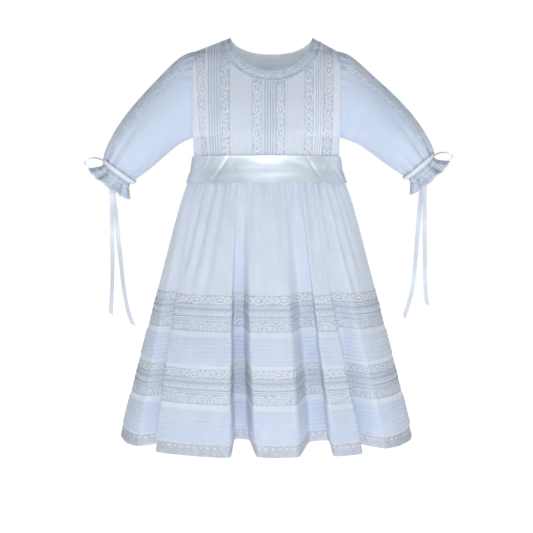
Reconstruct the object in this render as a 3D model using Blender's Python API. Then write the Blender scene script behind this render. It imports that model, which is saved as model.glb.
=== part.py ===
"""Child's white lace dress, filled out as if worn: bodice, sleeves with ruffled cuffs, sash and tiered skirt.

Sizes are in millimetres. The front faces -Y, +X is to the right seen from the front, +Z is up,
and the origin is the middle of the neck opening, level with the shoulder seams at the neck.
"""

import math

import bmesh
import bpy
import numpy as np

MM = 0.001
SEAM_GAP = 0.3
BATISTE = 1.4
LACE = 1.2
RIBBON = 1.0
TRIM = 1.0

# The neck, the shoulders and the armholes
NECK_HALF_WIDTH = 57.0
# The neck lies a little to the right of the middle
NECK_SHIFT = 7.0
NECK_DROP = {"front": 50.0, "back": 20.0}
NECK_LACE_WIDTH = 14.0
SHOULDER_X = 100.0
SHOULDER_Z = -19.0
UNDERARM_X = 103.0
UNDERARM_Z = -137.0
ARMHOLE_HALF_DEPTH = 36.0

# The sash and the skirt's seams, from the top down
WAIST_Z = -183.0
SASH_TOP_Z = -165.0
SASH_BOTTOM_Z = -201.0
SASH_EASE = 0.9
SASH_COLUMNS = 56
SASH_LAP_HALF_ANGLE = math.radians(9.0)
LACE_UPPER_TOP_Z = -348.5
TUCKS_UPPER_TOP_Z = -396.0
LACE_LOWER_TOP_Z = -444.0
TUCKS_LOWER_TOP_Z = -489.0
BATISTE_HEM_Z = -540.0
NET_HEM_Z = -556.0

TUCK_PITCH = 5.7
TUCK_RISE = 1.4
TUCK_STEP = 0.7
UPPER_TUCKS = 6
LOWER_TUCKS = 7
PLAIN_ABOVE_TUCKS = 8.5

WIDEST_COLUMN = 9.5

# The body's rings are ellipses a little squared off: 2 would be a true ellipse
SQUARENESS = 2.3

# Half sizes of the body and the skirt at each height
LEVELS = np.array(
    [
        # z, half width, half depth
        (-137.0, 103.0, 77.0),
        (-165.0, 102.0, 77.0),
        (-183.0, 105.2, 80.0),
        (-201.0, 110.8, 86.0),
        (-225.0, 119.6, 94.0),
        (-260.0, 129.4, 103.0),
        (-302.0, 140.2, 112.0),
        (-344.0, 151.6, 120.0),
        (-387.0, 162.8, 128.0),
        (-430.0, 174.4, 136.0),
        (-473.0, 185.6, 143.0),
        (-516.0, 197.2, 149.0),
        (-556.0, 206.8, 154.0),
    ]
)

# How far the body stands in front of and behind the shoulder line, by the height below it
BODY_DEPTH = np.array(
    [
        # below the shoulder line, front, back
        (0.0, 0.15, 0.15),
        (8.0, 15.0, 13.0),
        (20.0, 28.0, 26.0),
        (35.0, 38.0, 36.0),
        (53.0, 48.0, 45.0),
        (75.0, 59.0, 54.0),
        (100.0, 69.0, 64.0),
        (137.0, 77.0, 74.0),
        (165.0, 77.0, 77.0),
        (183.0, 80.0, 80.0),
    ]
)

# The skirt's deep folds, as the hollows between them
HOLLOWS = np.array(
    [
        # angle at the waist, angle at the hem, half angles before and after it, share of the full depth
        (-16.0, -8.6, 1.2, 5.0, 1.00),
        (18.6, 20.0, 8.5, 1.2, 0.86),
        (29.0, 36.9, 1.2, 10.0, 0.56),
        (104.0, 102.0, 6.5, 5.0, 0.50),
        (128.0, 129.0, 7.5, 4.0, 0.80),
        (154.0, 155.0, 4.0, 8.0, 0.90),
        (176.0, 178.0, 5.5, 5.5, 0.70),
        (203.0, 201.0, 8.0, 3.5, 0.95),
        (229.0, 231.0, 4.5, 8.0, 0.75),
        (255.0, 256.0, 6.5, 6.5, 0.50),
        (303.0, 315.0, 9.0, 1.2, 0.56),
    ]
)
# Where a hollow's sides bend, in half angles from its middle: it's flat inside the first
HOLLOW_BENDS = (0.7, 1.3)
WIDE_HOLLOW = 2.4
WIDE_SHARE = 0.16
LEAST_CORNER = 0.6
# Hollows run straight back over this share of the half width, and turn to the middle over the next
STRAIGHT_WIDTH = 0.44
TURNED_WIDTH = 0.4
HOLLOW_RISE = 0.08
HOLLOW_DEPTH = np.array(
    [
        # z, depth of a full hollow
        (-183.0, 0.0),
        (-225.0, 5.0),
        (-302.0, 17.0),
        (-387.0, 36.0),
        (-473.0, 58.0),
        (-556.0, 78.0),
    ]
)
GATHER_DEPTH = np.array(
    [
        # z, depth of a gather
        (-183.0, 1.6),
        (-201.0, 2.6),
        (-225.0, 4.2),
        (-260.0, 3.6),
        (-302.0, 1.8),
        (-348.0, 0.0),
    ]
)

# The left sleeve's outline, from the armhole to the cuff seam; the right one is lifted a little
SLEEVE = np.array(
    [
        # upper edge x out, upper edge z, lower edge x out, lower edge z, half depth
        (116.0, -24.5, 107.0, -139.5, 37.5),
        (131.0, -36.0, 114.0, -142.5, 39.0),
        (153.0, -58.0, 124.5, -148.5, 40.5),
        (174.0, -80.0, 137.0, -158.5, 41.0),
        (194.0, -103.0, 150.5, -170.0, 40.0),
        (210.5, -126.0, 164.5, -182.0, 36.5),
        (222.5, -148.0, 178.0, -192.5, 31.0),
        (228.5, -163.5, 187.0, -199.5, 26.0),
        (228.0, -175.0, 192.0, -202.0, 22.5),
    ]
)
SLEEVE_LIFT = {-1: math.radians(0.0), 1: math.radians(4.0)}
SLEEVE_COLUMNS = 32
SLEEVE_GATHERS = 8
SLEEVE_GATHER_DEPTH = (0.0, 0.0, 0.0, 0.0, 0.4, 0.9, 1.5, 2.0, 1.2)

FRILL_LENGTH = 19.0
FRILL_COLUMNS = 36
FRILL_RUFFLES = 9
FRILL = np.array(
    [
        # share of its length, half size beyond the cuff seam's, ruffle depth
        (0.0, 0.6, 0.8),
        (0.3, 2.0, 1.4),
        (0.65, 6.5, 2.8),
        (1.0, 11.0, 4.2),
    ]
)

# The ribbon round the cuff: how far above the seam its edges lie, and how far they stand off the seam's ring
CUFF_RIBBON = ((6.6, 6.4), (0.6, 2.4))
CUFF_RIBBON_COLUMNS = 28

RIBBON_WIDTH = 6.0
LOOP_THICKNESS = 0.8
LOOP_STATIONS = 15
LOOP_ENDS = math.radians(168.0)
KNOT_ANGLE = math.radians(60.0)
KNOT_STAND_OFF = 9.2
KNOT_HALF = (3.6, 2.8, 3.2)
LOOP_HALF_HEIGHT = 8.0
LOOP_INSET = 0.15
LOOP_SEAT = 0.05
BOW_LOOPS = (
    # name, outwards or inwards, reach, rise at its end, how far it leans back
    ("outer", 1, 36.0, 4.0, 1.0),
    ("inner", -1, 29.0, -6.0, 17.0),
)
# Each free ribbon end hangs from the knot, over the back of the frill and down
TAILS = {
    "left_a": [
        # x, y, z
        (-221.4, 26.5, -179.8),
        (-224.0, 32.5, -186.5),
        (-225.5, 38.5, -196.0),
        (-225.0, 41.5, -207.0),
        (-224.0, 42.0, -218.0),
        (-224.0, 41.0, -253.0),
        (-224.0, 40.0, -320.0),
        (-225.0, 39.0, -354.0),
        (-227.0, 38.5, -392.0),
    ],
    "left_b": [
        (-219.4, 28.4, -179.8),
        (-220.5, 35.5, -186.5),
        (-221.5, 42.5, -196.0),
        (-221.5, 45.5, -207.0),
        (-221.5, 46.0, -220.0),
        (-219.0, 45.0, -245.0),
        (-216.0, 44.5, -278.0),
        (-212.0, 44.0, -320.0),
        (-208.5, 43.0, -354.0),
        (-202.0, 42.0, -388.0),
        (-195.0, 41.5, -408.0),
    ],
    "right_a": [
        (228.2, 26.5, -171.4),
        (230.5, 32.5, -178.5),
        (231.0, 38.5, -188.0),
        (230.0, 41.5, -199.0),
        (229.0, 42.0, -212.0),
        (229.0, 41.0, -250.0),
        (230.0, 40.0, -300.0),
        (231.0, 39.0, -350.0),
        (234.0, 38.5, -378.0),
    ],
    "right_b": [
        (226.0, 28.4, -171.4),
        (225.5, 35.5, -178.5),
        (225.0, 42.5, -188.0),
        (225.0, 45.5, -199.0),
        (224.5, 46.0, -216.0),
        (221.5, 45.0, -250.0),
        (219.0, 44.5, -288.0),
        (216.5, 44.0, -323.0),
        (212.5, 43.0, -357.0),
        (207.0, 42.0, -379.0),
        (201.0, 41.5, -397.0),
    ],
}
TAIL_STATIONS = 16

BUTTONS = 5
BUTTON_RADIUS = 4.5
BUTTON_HEIGHT = 2.2
BUTTON_SIDES = 16
BUTTON_SEAT = 0.5
BUTTON_PROFILE = (
    # share of its height, share of its radius
    (0.0, 0.82),
    (0.35, 1.0),
    (0.75, 1.0),
    (1.0, 0.8),
)
FIRST_BUTTON_Z = -44.0
LAST_BUTTON_Z = -150.0
PLACKET_HALF_WIDTH = 8.0
PLACKET_LIFT = 0.9
PLACKET_ROWS = 12

BATISTE_FINISH = ((0.66, 0.71, 0.83), 0.85)
LACE_FINISH = ((0.60, 0.66, 0.77), 0.9)
NET_FINISH = ((0.55, 0.60, 0.70), 0.9)
SATIN_FINISH = ((0.80, 0.86, 0.92), 0.35)
BUTTON_FINISH = ((0.85, 0.87, 0.90), 0.25)


def clear_scene():
    for old in list(bpy.data.objects):
        bpy.data.objects.remove(old, do_unlink=True)


def material(name, finish):
    """The material of that name, made once."""
    made = bpy.data.materials.get(name)
    if made:
        return made
    colour, roughness = finish
    made = bpy.data.materials.new(name)
    made.use_nodes = True
    shader = made.node_tree.nodes["Principled BSDF"]
    shader.inputs["Base Color"].default_value = (*colour, 1.0)
    shader.inputs["Roughness"].default_value = roughness
    shader.inputs["Metallic"].default_value = 0.0
    return made


def add_object(name, points, faces, finish_name, finish):
    """A mesh object from points in millimetres."""
    mesh = bpy.data.meshes.new(name)
    mesh.from_pydata([tuple(MM * np.asarray(p, float)) for p in points], [], faces)
    mesh.materials.append(material(finish_name, finish))
    mesh.shade_smooth()
    mesh.set_sharp_from_angle(angle=math.radians(35.0))
    mesh.update()
    placed = bpy.data.objects.new(name, mesh)
    bpy.context.scene.collection.objects.link(placed)
    return placed


def normals_of(grid, closed):
    """Unit normals of a grid of points; they point out where its columns run right, seen from outside."""
    if closed:
        across = np.roll(grid, -1, axis=1) - np.roll(grid, 1, axis=1)
    else:
        across = np.gradient(grid, axis=1)
    down = np.gradient(grid, axis=0)
    out = np.cross(down, across)
    return out / np.maximum(np.linalg.norm(out, axis=2, keepdims=True), 1e-9)


def wall(name, outer, inner, closed, finish_name, finish):
    """A cloth wall between an outer and an inner grid with as many columns; rows may differ."""
    columns = outer.shape[1]
    points = np.concatenate([outer.reshape(-1, 3), inner.reshape(-1, 3)])
    start = outer.shape[0] * columns
    last_out, last_in = outer.shape[0] - 1, inner.shape[0] - 1
    spans = columns if closed else columns - 1
    faces = []

    def out_at(row, column):
        return row * columns + column % columns

    def in_at(row, column):
        return start + row * columns + column % columns

    for j in range(spans):
        for i in range(last_out):
            faces.append((out_at(i, j), out_at(i + 1, j), out_at(i + 1, j + 1), out_at(i, j + 1)))
        for i in range(last_in):
            faces.append((in_at(i, j), in_at(i, j + 1), in_at(i + 1, j + 1), in_at(i + 1, j)))
        faces.append((out_at(0, j), out_at(0, j + 1), in_at(0, j + 1), in_at(0, j)))
        faces.append((out_at(last_out, j), in_at(last_in, j), in_at(last_in, j + 1), out_at(last_out, j + 1)))
    if not closed:
        for edge in (0, spans):
            rim = [out_at(i, edge) for i in range(last_out + 1)]
            rim += [in_at(i, edge) for i in range(last_in, -1, -1)]
            faces.append(tuple(rim) if edge else tuple(reversed(rim)))
    return add_object(name, points, faces, finish_name, finish)


def at_height(table, z, column):
    """A table's value at a height, the table running from the top down."""
    return np.interp(-np.asarray(z, float), -table[:, 0], table[:, column])


def smooth_step(t):
    t = np.clip(t, 0.0, 1.0)
    return t * t * (3.0 - 2.0 * t)


def ring(angles, z, outward=0.0):
    """Points round the body or skirt at one height, without folds; angle 0 is the front."""
    wide, deep = at_height(LEVELS, z, 1) + outward, at_height(LEVELS, z, 2) + outward
    sine, cosine = np.sin(angles), np.cos(angles)
    x = wide * np.sign(sine) * np.abs(sine) ** (2.0 / SQUARENESS)
    y = -deep * np.sign(cosine) * np.abs(cosine) ** (2.0 / SQUARENESS)
    return np.stack([x, y, np.full_like(x, z)], axis=1)


def hollow_middle(waist, hem, z):
    return waist + (hem - waist) * np.interp(-z, [-WAIST_Z, -NET_HEM_Z], [0.0, 1.0])


def hollow_bends(z):
    """The angles where each hollow's sides bend, and its middle, all round and back to the first."""
    found = []
    for waist, hem, before, after, _ in HOLLOWS:
        middle = hollow_middle(waist, hem, z)
        found += [middle - before * bend for bend in reversed(HOLLOW_BENDS)]
        found += [middle] + [middle + after * bend for bend in HOLLOW_BENDS]
    return np.array(found + [found[0] + 360.0])


def fold_angles(z):
    """An even number of angles round the skirt at one height; they follow the hollows down."""
    steps = np.ceil(np.diff(hollow_bends(NET_HEM_Z)) / WIDEST_COLUMN).astype(int)
    steps[steps.argmax()] += steps.sum() % 2
    bends = hollow_bends(z)
    spans = [np.linspace(*span, endpoint=False) for span in zip(bends, bends[1:], steps)]
    return np.radians(np.concatenate(spans))


def hollow_depth(angles, z):
    """How far the cloth lies inside the ring in the hollows between the folds."""
    depth = np.zeros_like(angles)
    for waist, hem, before, after, part in HOLLOWS:
        middle = math.radians(hollow_middle(waist, hem, z))
        turned = (angles - middle + math.pi) % (2 * math.pi) - math.pi
        away = np.abs(turned) / np.radians(np.where(turned < 0.0, before, after))
        narrow = 1.0 - smooth_step((away - HOLLOW_BENDS[0]) / (HOLLOW_BENDS[1] - HOLLOW_BENDS[0]))
        wide = 1.0 - smooth_step(away / WIDE_HOLLOW)
        depth = np.maximum(depth, part * ((1.0 - WIDE_SHARE) * narrow + WIDE_SHARE * wide))
    return depth * at_height(HOLLOW_DEPTH, z, 1)


def row_normals(row):
    """Directions out from a closed row, longer at its corners so that a wall keeps its thickness."""
    step = (np.roll(row, -1, axis=0) - row) * (1, 1, 0)
    after = np.cross((0, 0, -1), step / np.linalg.norm(step, axis=1, keepdims=True))
    out = after + np.roll(after, 1, axis=0)
    out /= np.linalg.norm(out, axis=1, keepdims=True)
    return out / np.maximum((out * after).sum(axis=1, keepdims=True), LEAST_CORNER)


def skirt_row(z, outward=0.0):
    """Points round the skirt at one height, with its folds; outward moves them off the cloth."""
    angles = fold_angles(z)
    base = ring(angles, z)
    sideways = smooth_step((np.abs(base[:, 0]) / at_height(LEVELS, z, 1) - STRAIGHT_WIDTH) / TURNED_WIDTH)
    inward = -base * np.stack([sideways, np.ones_like(sideways), 0.0 * sideways], axis=1)
    inward /= np.linalg.norm(inward, axis=1, keepdims=True)
    hollow = hollow_depth(angles, z)
    # Every second column lies in, which makes the waist gathers
    gathers = at_height(GATHER_DEPTH, z, 1) * (np.arange(len(angles)) % 2)
    row = base + inward * (hollow + gathers)[:, None]
    if outward:
        row = row + outward * row_normals(row)
    row[:, 2] += HOLLOW_RISE * hollow
    return row


def even_angles(count):
    return np.linspace(0.0, 2.0 * math.pi, count, endpoint=False)


def tube(name, outer_rows, inner_rows, thickness, finish_name, finish):
    """A closed band of the skirt; each row is a height and how far it stands off the cloth."""
    outer = np.stack([skirt_row(z, outward) for z, outward in outer_rows])
    inner = np.stack([skirt_row(z, -thickness) for z in inner_rows])
    return wall(name, outer, inner, True, finish_name, finish)


def make_skirt_top():
    heights = (WAIST_Z - SEAM_GAP, -201.0, -225.0, -260.0, -302.0, LACE_UPPER_TOP_Z)
    tube("skirt_top", [(z, 0.0) for z in heights], heights, BATISTE, "batiste", BATISTE_FINISH)


def make_lace_band(name, top, bottom):
    heights = (top - SEAM_GAP, bottom)
    tube(name, [(z, 0.0) for z in heights], heights, LACE, "lace", LACE_FINISH)


def make_tuck_band(name, top, bottom, tucks):
    """Each tuck is a fold of cloth that lies down over the next one and stands off at its lower edge."""
    rows = [(top - SEAM_GAP, 0.0)]
    for k in range(tucks):
        stitched = top - PLAIN_ABOVE_TUCKS - TUCK_PITCH * k
        rows += [(stitched, 0.0), (stitched - TUCK_PITCH + TUCK_STEP, TUCK_RISE)]
    rows += [(top - PLAIN_ABOVE_TUCKS - TUCK_PITCH * tucks, 0.0), (bottom, 0.0)]
    if rows[-2][0] - rows[-1][0] < 1.5:
        rows.pop(-2)
    inner = (top - SEAM_GAP, bottom)
    tube(name, rows, inner, BATISTE, "batiste", BATISTE_FINISH)


def make_net_hem():
    heights = (BATISTE_HEM_Z - SEAM_GAP, NET_HEM_Z)
    tube("net_hem", [(z, 0.0) for z in heights], heights, LACE, "net", NET_FINISH)


def make_sash():
    """A satin band round the waist, its ends lapped at the centre back."""
    angles = even_angles(SASH_COLUMNS)
    behind = np.abs(angles - math.pi)
    lap = (behind < SASH_LAP_HALF_ANGLE) * RIBBON
    heights = (SASH_TOP_Z, WAIST_Z, SASH_BOTTOM_Z)
    inner = np.stack([ring(angles, z, SASH_EASE) for z in heights])
    grown = SASH_EASE + RIBBON + lap
    outer = np.stack(
        [
            np.stack([ring(angles[k : k + 1], z, grown[k])[0] for k in range(len(angles))])
            for z in heights
        ]
    )
    wall("sash", outer, inner, True, "satin", SATIN_FINISH)


def shoulder_span(hand):
    """How far the shoulder seam runs across: the neck sits a little to the right."""
    return SHOULDER_X - hand * NECK_SHIFT - NECK_HALF_WIDTH


def shoulder_line(x):
    """The height of the shoulder seam, falling from each side of the neck to the armhole."""
    right = (x - NECK_SHIFT - NECK_HALF_WIDTH) / shoulder_span(1)
    left = (NECK_SHIFT - x - NECK_HALF_WIDTH) / shoulder_span(-1)
    return np.clip(np.maximum(right, left), 0.0, None) * SHOULDER_Z


def neck_height(x, side):
    """The neckline's height over a place across it, on the front or the back."""
    across = np.clip(np.abs(x - NECK_SHIFT) / NECK_HALF_WIDTH, 0.0, 1.0)
    return -NECK_DROP[side] * (1.0 - across**2.3) ** 0.62


def armhole_x(z):
    share = np.clip((z - UNDERARM_Z) / (SHOULDER_Z - UNDERARM_Z), 0.0, 1.0)
    above = UNDERARM_X + (SHOULDER_X - UNDERARM_X) * share
    return np.where(z >= UNDERARM_Z, above, at_height(LEVELS, z, 1))


def armhole_depth(z):
    """Half the armhole's depth at a height: it is an ellipse seen from the side."""
    middle, half = (SHOULDER_Z + UNDERARM_Z) / 2, (SHOULDER_Z - UNDERARM_Z) / 2
    rise = np.clip((z - middle) / half, -1.0, 1.0)
    return SEAM_GAP / 2 + ARMHOLE_HALF_DEPTH * np.sqrt(1.0 - rise**2)


def body_depth(x, z, side):
    """How far the bodice stands in front of or behind the side seams."""
    column = 1 if side == "front" else 2
    below = shoulder_line(x) - z
    middle = np.interp(below, BODY_DEPTH[:, 0], BODY_DEPTH[:, column])
    edge = np.minimum(armhole_depth(z), middle)
    across = np.clip(np.abs(x) / armhole_x(z), 0.0, 1.0)
    return edge + (middle - edge) * (1.0 - across**SQUARENESS) ** (1.0 / SQUARENESS)


def body_point(x, z, side):
    depth = body_depth(x, z, side)
    return np.stack([x, -depth if side == "front" else depth, z], axis=-1)


def body_inside(outer, side, thickness):
    """Points a thickness inside a bodice panel's outer points, kept on their own side of the seams."""
    x, z = outer[..., 0], outer[..., 2]
    reach = 0.5
    across = body_point(x + reach, z, side) - body_point(x - reach, z, side)
    down = body_point(x, z - reach, side) - body_point(x, z + reach, side)
    out = np.cross(down, across) * (1 if side == "front" else -1)
    inner = outer - thickness * out / np.linalg.norm(out, axis=-1, keepdims=True)
    sign = -1 if side == "front" else 1
    past = sign * inner[..., 1] < SEAM_GAP / 2
    inner[..., 1] = np.where(past, sign * SEAM_GAP / 2, inner[..., 1])
    inner[..., 2] = np.maximum(inner[..., 2], WAIST_Z)
    return inner


# Places along half of the neckline, then shares of the way along the shoulder seam
NECK_PLACES = (0.0, 0.18, 0.36, 0.54, 0.70, 0.84, 0.94, 1.0)
SHOULDER_SHARES = (0.33, 0.66, 0.88, 1.0)
MIDDLE_PLACE = -NECK_SHIFT / NECK_HALF_WIDTH
NEAREST_PLACE = 0.05
PANEL_ROWS = 10
ROW_SPREAD = 1.15
ARMHOLE_MARGIN = 0.4


def neck_point(place, side, width):
    """Across and up at a distance down from the neckline; place is -1 at its left end and 1 at its right."""
    x = NECK_SHIFT + NECK_HALF_WIDTH * place
    hand = math.copysign(1.0, place)
    turn = hand * math.atan2(shoulder_span(hand), -SHOULDER_Z) * place**2
    return x + width * math.sin(turn), float(neck_height(x, side)) - width * math.cos(turn)


def places_out(first, hand):
    """Places along the neckline from a first one out to its end on one side."""
    return [first] + [hand * place for place in NECK_PLACES if place - hand * first > NEAREST_PLACE]


def panel_column(place, shoulder_share, side):
    """One line of a bodice panel, from its top edge down to the waist."""
    x_top, z_top = neck_point(place, side, NECK_LACE_WIDTH + SEAM_GAP)
    x_top += (math.copysign(SHOULDER_X, place) - x_top) * shoulder_share
    if abs(place) == 1.0:
        z_top = float(shoulder_line(x_top))
    x_waist = x_top / SHOULDER_X * float(at_height(LEVELS, WAIST_Z, 1))
    share = np.linspace(0.0, 1.0, PANEL_ROWS) ** ROW_SPREAD
    z = z_top + (WAIST_Z - z_top) * share
    x = x_top + (x_waist - x_top) * share
    limit = armhole_x(z)
    if shoulder_share == 1.0:
        x = math.copysign(1.0, place) * limit
    else:
        x = np.clip(x, ARMHOLE_MARGIN - limit, limit - ARMHOLE_MARGIN)
    return body_point(x, z, side)


def panel_grid(first, side, hand):
    """A bodice panel's outer points from a first place out to the armhole."""
    columns = [panel_column(place, 0.0, side) for place in places_out(first, hand)]
    columns += [panel_column(float(hand), share, side) for share in SHOULDER_SHARES]
    return np.stack(columns, axis=1)


def make_bodice_front():
    left, right = (panel_grid(0.0, "front", hand) for hand in (-1, 1))
    outer = np.concatenate([left[:, ::-1], right[:, 1:]], axis=1)
    wall("bodice_front", outer, body_inside(outer, "front", BATISTE), False, "batiste", BATISTE_FINISH)


def make_bodice_back(hand):
    """Half of the back, which opens down its middle."""
    outer = panel_grid(MIDDLE_PLACE, "back", hand)
    if hand > 0:
        outer = outer[:, ::-1]
    inner = body_inside(outer, "back", BATISTE)
    middle = 0 if hand < 0 else -1
    outer[:, middle, 0] = inner[:, middle, 0] = hand * SEAM_GAP / 2
    name = "bodice_back_left" if hand < 0 else "bodice_back_right"
    wall(name, outer, inner, False, "batiste", BATISTE_FINISH)


def neck_lace_part(first, side, hand):
    """Outer and inner points of the neck lace, from a first place out to the shoulder."""
    rows = []
    for width in (0.0, NECK_LACE_WIDTH / 2, NECK_LACE_WIDTH):
        row = np.array([neck_point(place, side, width) for place in places_out(first, hand)])
        rows.append(body_point(row[:, 0], row[:, 1], side))
    outer = np.stack(rows)
    return np.stack([outer, body_inside(outer, side, LACE)])


def make_neck_lace():
    """The lace band that edges the neckline, open at the centre back."""
    back_left = neck_lace_part(MIDDLE_PLACE, "back", -1)
    front_left = neck_lace_part(0.0, "front", -1)[:, :, ::-1]
    front_right = neck_lace_part(0.0, "front", 1)
    back_right = neck_lace_part(MIDDLE_PLACE, "back", 1)[:, :, ::-1]
    parts = (back_left, front_left[:, :, 1:], front_right[:, :, 1:], back_right[:, :, 1:])
    grids = np.concatenate(parts, axis=2)
    grids[:, :, 0, 0] = -SEAM_GAP / 2
    grids[:, :, -1, 0] = SEAM_GAP / 2
    wall("neck_lace", grids[0], grids[1], False, "lace", LACE_FINISH)


def make_placket():
    """The buttoned edge that laps over the centre-back opening."""
    top = -NECK_DROP["back"] - NECK_LACE_WIDTH - TRIM
    z = np.linspace(top, SASH_TOP_Z + TRIM, PLACKET_ROWS)
    x = np.array([PLACKET_HALF_WIDTH, 0.0, -PLACKET_HALF_WIDTH])
    grid = np.stack([body_point(x, np.full_like(x, level), "back") for level in z])
    lift = np.array([0.0, 1.0, 0.0])
    near, far = grid + PLACKET_LIFT * lift, grid + (PLACKET_LIFT + TRIM) * lift
    wall("back_placket", far, near, False, "batiste", BATISTE_FINISH)


def make_buttons():
    """Round buttons down the placket, each square to the slope of the back."""
    turned = even_angles(BUTTON_SIDES)
    reach = BUTTON_RADIUS
    for k, z in enumerate(np.linspace(FIRST_BUTTON_Z, LAST_BUTTON_Z, BUTTONS)):
        levels = np.array([z, z - reach])
        behind, below = body_depth(np.zeros(2), levels, "back")
        slope = math.atan2(below - behind, reach)
        seat = behind + PLACKET_LIFT + TRIM + BUTTON_SEAT
        points, faces = [], []
        for share, size in BUTTON_PROFILE:
            out = BUTTON_HEIGHT * share
            for angle in turned:
                across = BUTTON_RADIUS * size * math.cos(angle)
                up = BUTTON_RADIUS * size * math.sin(angle)
                y = seat + out * math.cos(slope) - up * math.sin(slope)
                points.append((across, y, z + up * math.cos(slope) + out * math.sin(slope)))
        top = (len(BUTTON_PROFILE) - 1) * BUTTON_SIDES
        for low in range(0, top, BUTTON_SIDES):
            high = low + BUTTON_SIDES
            for j in range(BUTTON_SIDES):
                after = (j + 1) % BUTTON_SIDES
                faces.append((low + j, high + j, high + after, low + after))
        faces.append(tuple(range(BUTTON_SIDES)))
        faces.append(tuple(top + j for j in reversed(range(BUTTON_SIDES))))
        add_object(f"button_{k + 1}", points, faces, "button", BUTTON_FINISH)


def sleeve_sections(hand):
    """The middle, the half height as a direction and length, and the half depth of each section."""
    pivot = np.array([UNDERARM_X, (SHOULDER_Z + UNDERARM_Z) / 2])
    turn = SLEEVE_LIFT[hand] * smooth_step((np.arange(len(SLEEVE)) + 1.0) / 4.0)
    edges = []
    for column in (0, 2):
        edge = SLEEVE[:, column : column + 2] - pivot
        x = edge[:, 0] * np.cos(turn) - edge[:, 1] * np.sin(turn)
        z = edge[:, 0] * np.sin(turn) + edge[:, 1] * np.cos(turn)
        edges.append(np.stack([x, z], axis=1) + pivot)
    upper, lower = edges
    return (upper + lower) / 2, (upper - lower) / 2, SLEEVE[:, 4]


def section(middle, half, half_depth, angles, hand, outward=0.0):
    """A ring of a sleeve: angle 0 is its upper or outer edge, and a quarter turn is its back."""
    height = np.linalg.norm(half)
    up = (height + outward) / height * np.cos(angles)
    x = middle[0] + half[0] * up
    z = middle[1] + half[1] * up
    return np.stack([hand * x, (half_depth + outward) * np.sin(angles), z], axis=1)


def sleeve_grid(hand, angles):
    middle, half, deep = sleeve_sections(hand)
    height = (SHOULDER_Z + UNDERARM_Z) / 2 + (SHOULDER_Z - UNDERARM_Z) / 2 * np.cos(angles)
    edge = np.stack(
        [
            hand * (armhole_x(height) + SEAM_GAP),
            (ARMHOLE_HALF_DEPTH + SEAM_GAP / 2) * np.sin(angles),
            height,
        ],
        axis=1,
    )
    rows = [edge]
    for k in range(len(SLEEVE)):
        gathers = SLEEVE_GATHER_DEPTH[k] * (0.5 - 0.5 * np.cos(SLEEVE_GATHERS * angles))
        rows.append(section(middle[k], half[k], deep[k], angles, hand, -gathers))
    return np.stack(rows)


def facing_out(grid, hand):
    """Columns in the order whose normals point out, for a sleeve or a cuff on either side."""
    return grid[:, ::-1] if hand < 0 else grid


def make_sleeve(hand):
    angles = even_angles(SLEEVE_COLUMNS)
    outer = facing_out(sleeve_grid(hand, angles), hand)
    inner = outer - BATISTE * normals_of(outer, True)
    inner[0, :, 0] = outer[0, :, 0]
    name = "sleeve_left" if hand < 0 else "sleeve_right"
    wall(name, outer, inner, True, "batiste", BATISTE_FINISH)


def cuff_seam(hand):
    """The cuff seam's middle, half height and half depth, and the direction in which the sleeve leaves."""
    middle, half, deep = sleeve_sections(hand)
    along = np.array([half[-1][1], -half[-1][0]]) / np.linalg.norm(half[-1])
    return middle[-1], half[-1], deep[-1], along * (-1 if along[1] > 0 else 1)


def make_cuff_frill(hand):
    """Ruffled lace that flares from the cuff seam."""
    middle, half, deep, along = cuff_seam(hand)
    angles = even_angles(FRILL_COLUMNS)
    rows = []
    for share, wider, ruffle in FRILL:
        place = middle + along * (SEAM_GAP + 0.2 + FRILL_LENGTH * share)
        wave = ruffle * np.cos(FRILL_RUFFLES * angles)
        rows.append(section(place, half, deep, angles, hand, wider - 1.0 + wave))
    outer = facing_out(np.stack(rows), hand)
    inner = outer - LACE * normals_of(outer, True)
    across = ((inner[0] - outer[0]) * (hand * along[0], 0, along[1])).sum(axis=1, keepdims=True)
    inner[0] -= across * (hand * along[0], 0, along[1])
    name = "cuff_frill_left" if hand < 0 else "cuff_frill_right"
    wall(name, outer, inner, True, "lace", LACE_FINISH)


def make_cuff_ribbon(hand):
    """Satin ribbon drawn round the sleeve end, just above the frill."""
    middle, half, deep, along = cuff_seam(hand)
    angles = even_angles(CUFF_RIBBON_COLUMNS)
    rows, inner_rows = [], []
    for back, grown in CUFF_RIBBON:
        place = middle - along * back
        rows.append(section(place, half, deep, angles, hand, grown + RIBBON))
        inner_rows.append(section(place, half, deep, angles, hand, grown))
    outer, inner = (facing_out(np.stack(found), hand) for found in (rows, inner_rows))
    name = "cuff_ribbon_left" if hand < 0 else "cuff_ribbon_right"
    wall(name, outer, inner, True, "satin", SATIN_FINISH)


def knot_place(hand):
    """The middle of the bow's knot, on the outer back of the cuff ribbon."""
    middle, half, deep, along = cuff_seam(hand)
    place = middle - along * (CUFF_RIBBON[0][0] + CUFF_RIBBON[1][0]) / 2
    return section(place, half, deep, np.array([KNOT_ANGLE]), hand, KNOT_STAND_OFF)[0]


def strip(name, path, across, width, thickness, finish_name, finish):
    """A flat ribbon along a path; across holds its width's direction at each point."""
    path, across = np.asarray(path, float), np.asarray(across, float)
    along = np.gradient(path, axis=0)
    across = across - along * (across * along).sum(1, keepdims=True) / (along * along).sum(1, keepdims=True)
    across /= np.linalg.norm(across, axis=1, keepdims=True)
    face = np.cross(along, across)
    face /= np.linalg.norm(face, axis=1, keepdims=True)
    sides = [path - across * width / 2, path + across * width / 2]
    outer = np.stack([s + face * thickness / 2 for s in sides], axis=1)
    inner = np.stack([s - face * thickness / 2 for s in sides], axis=1)
    return wall(name, outer, inner, False, finish_name, finish)


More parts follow.
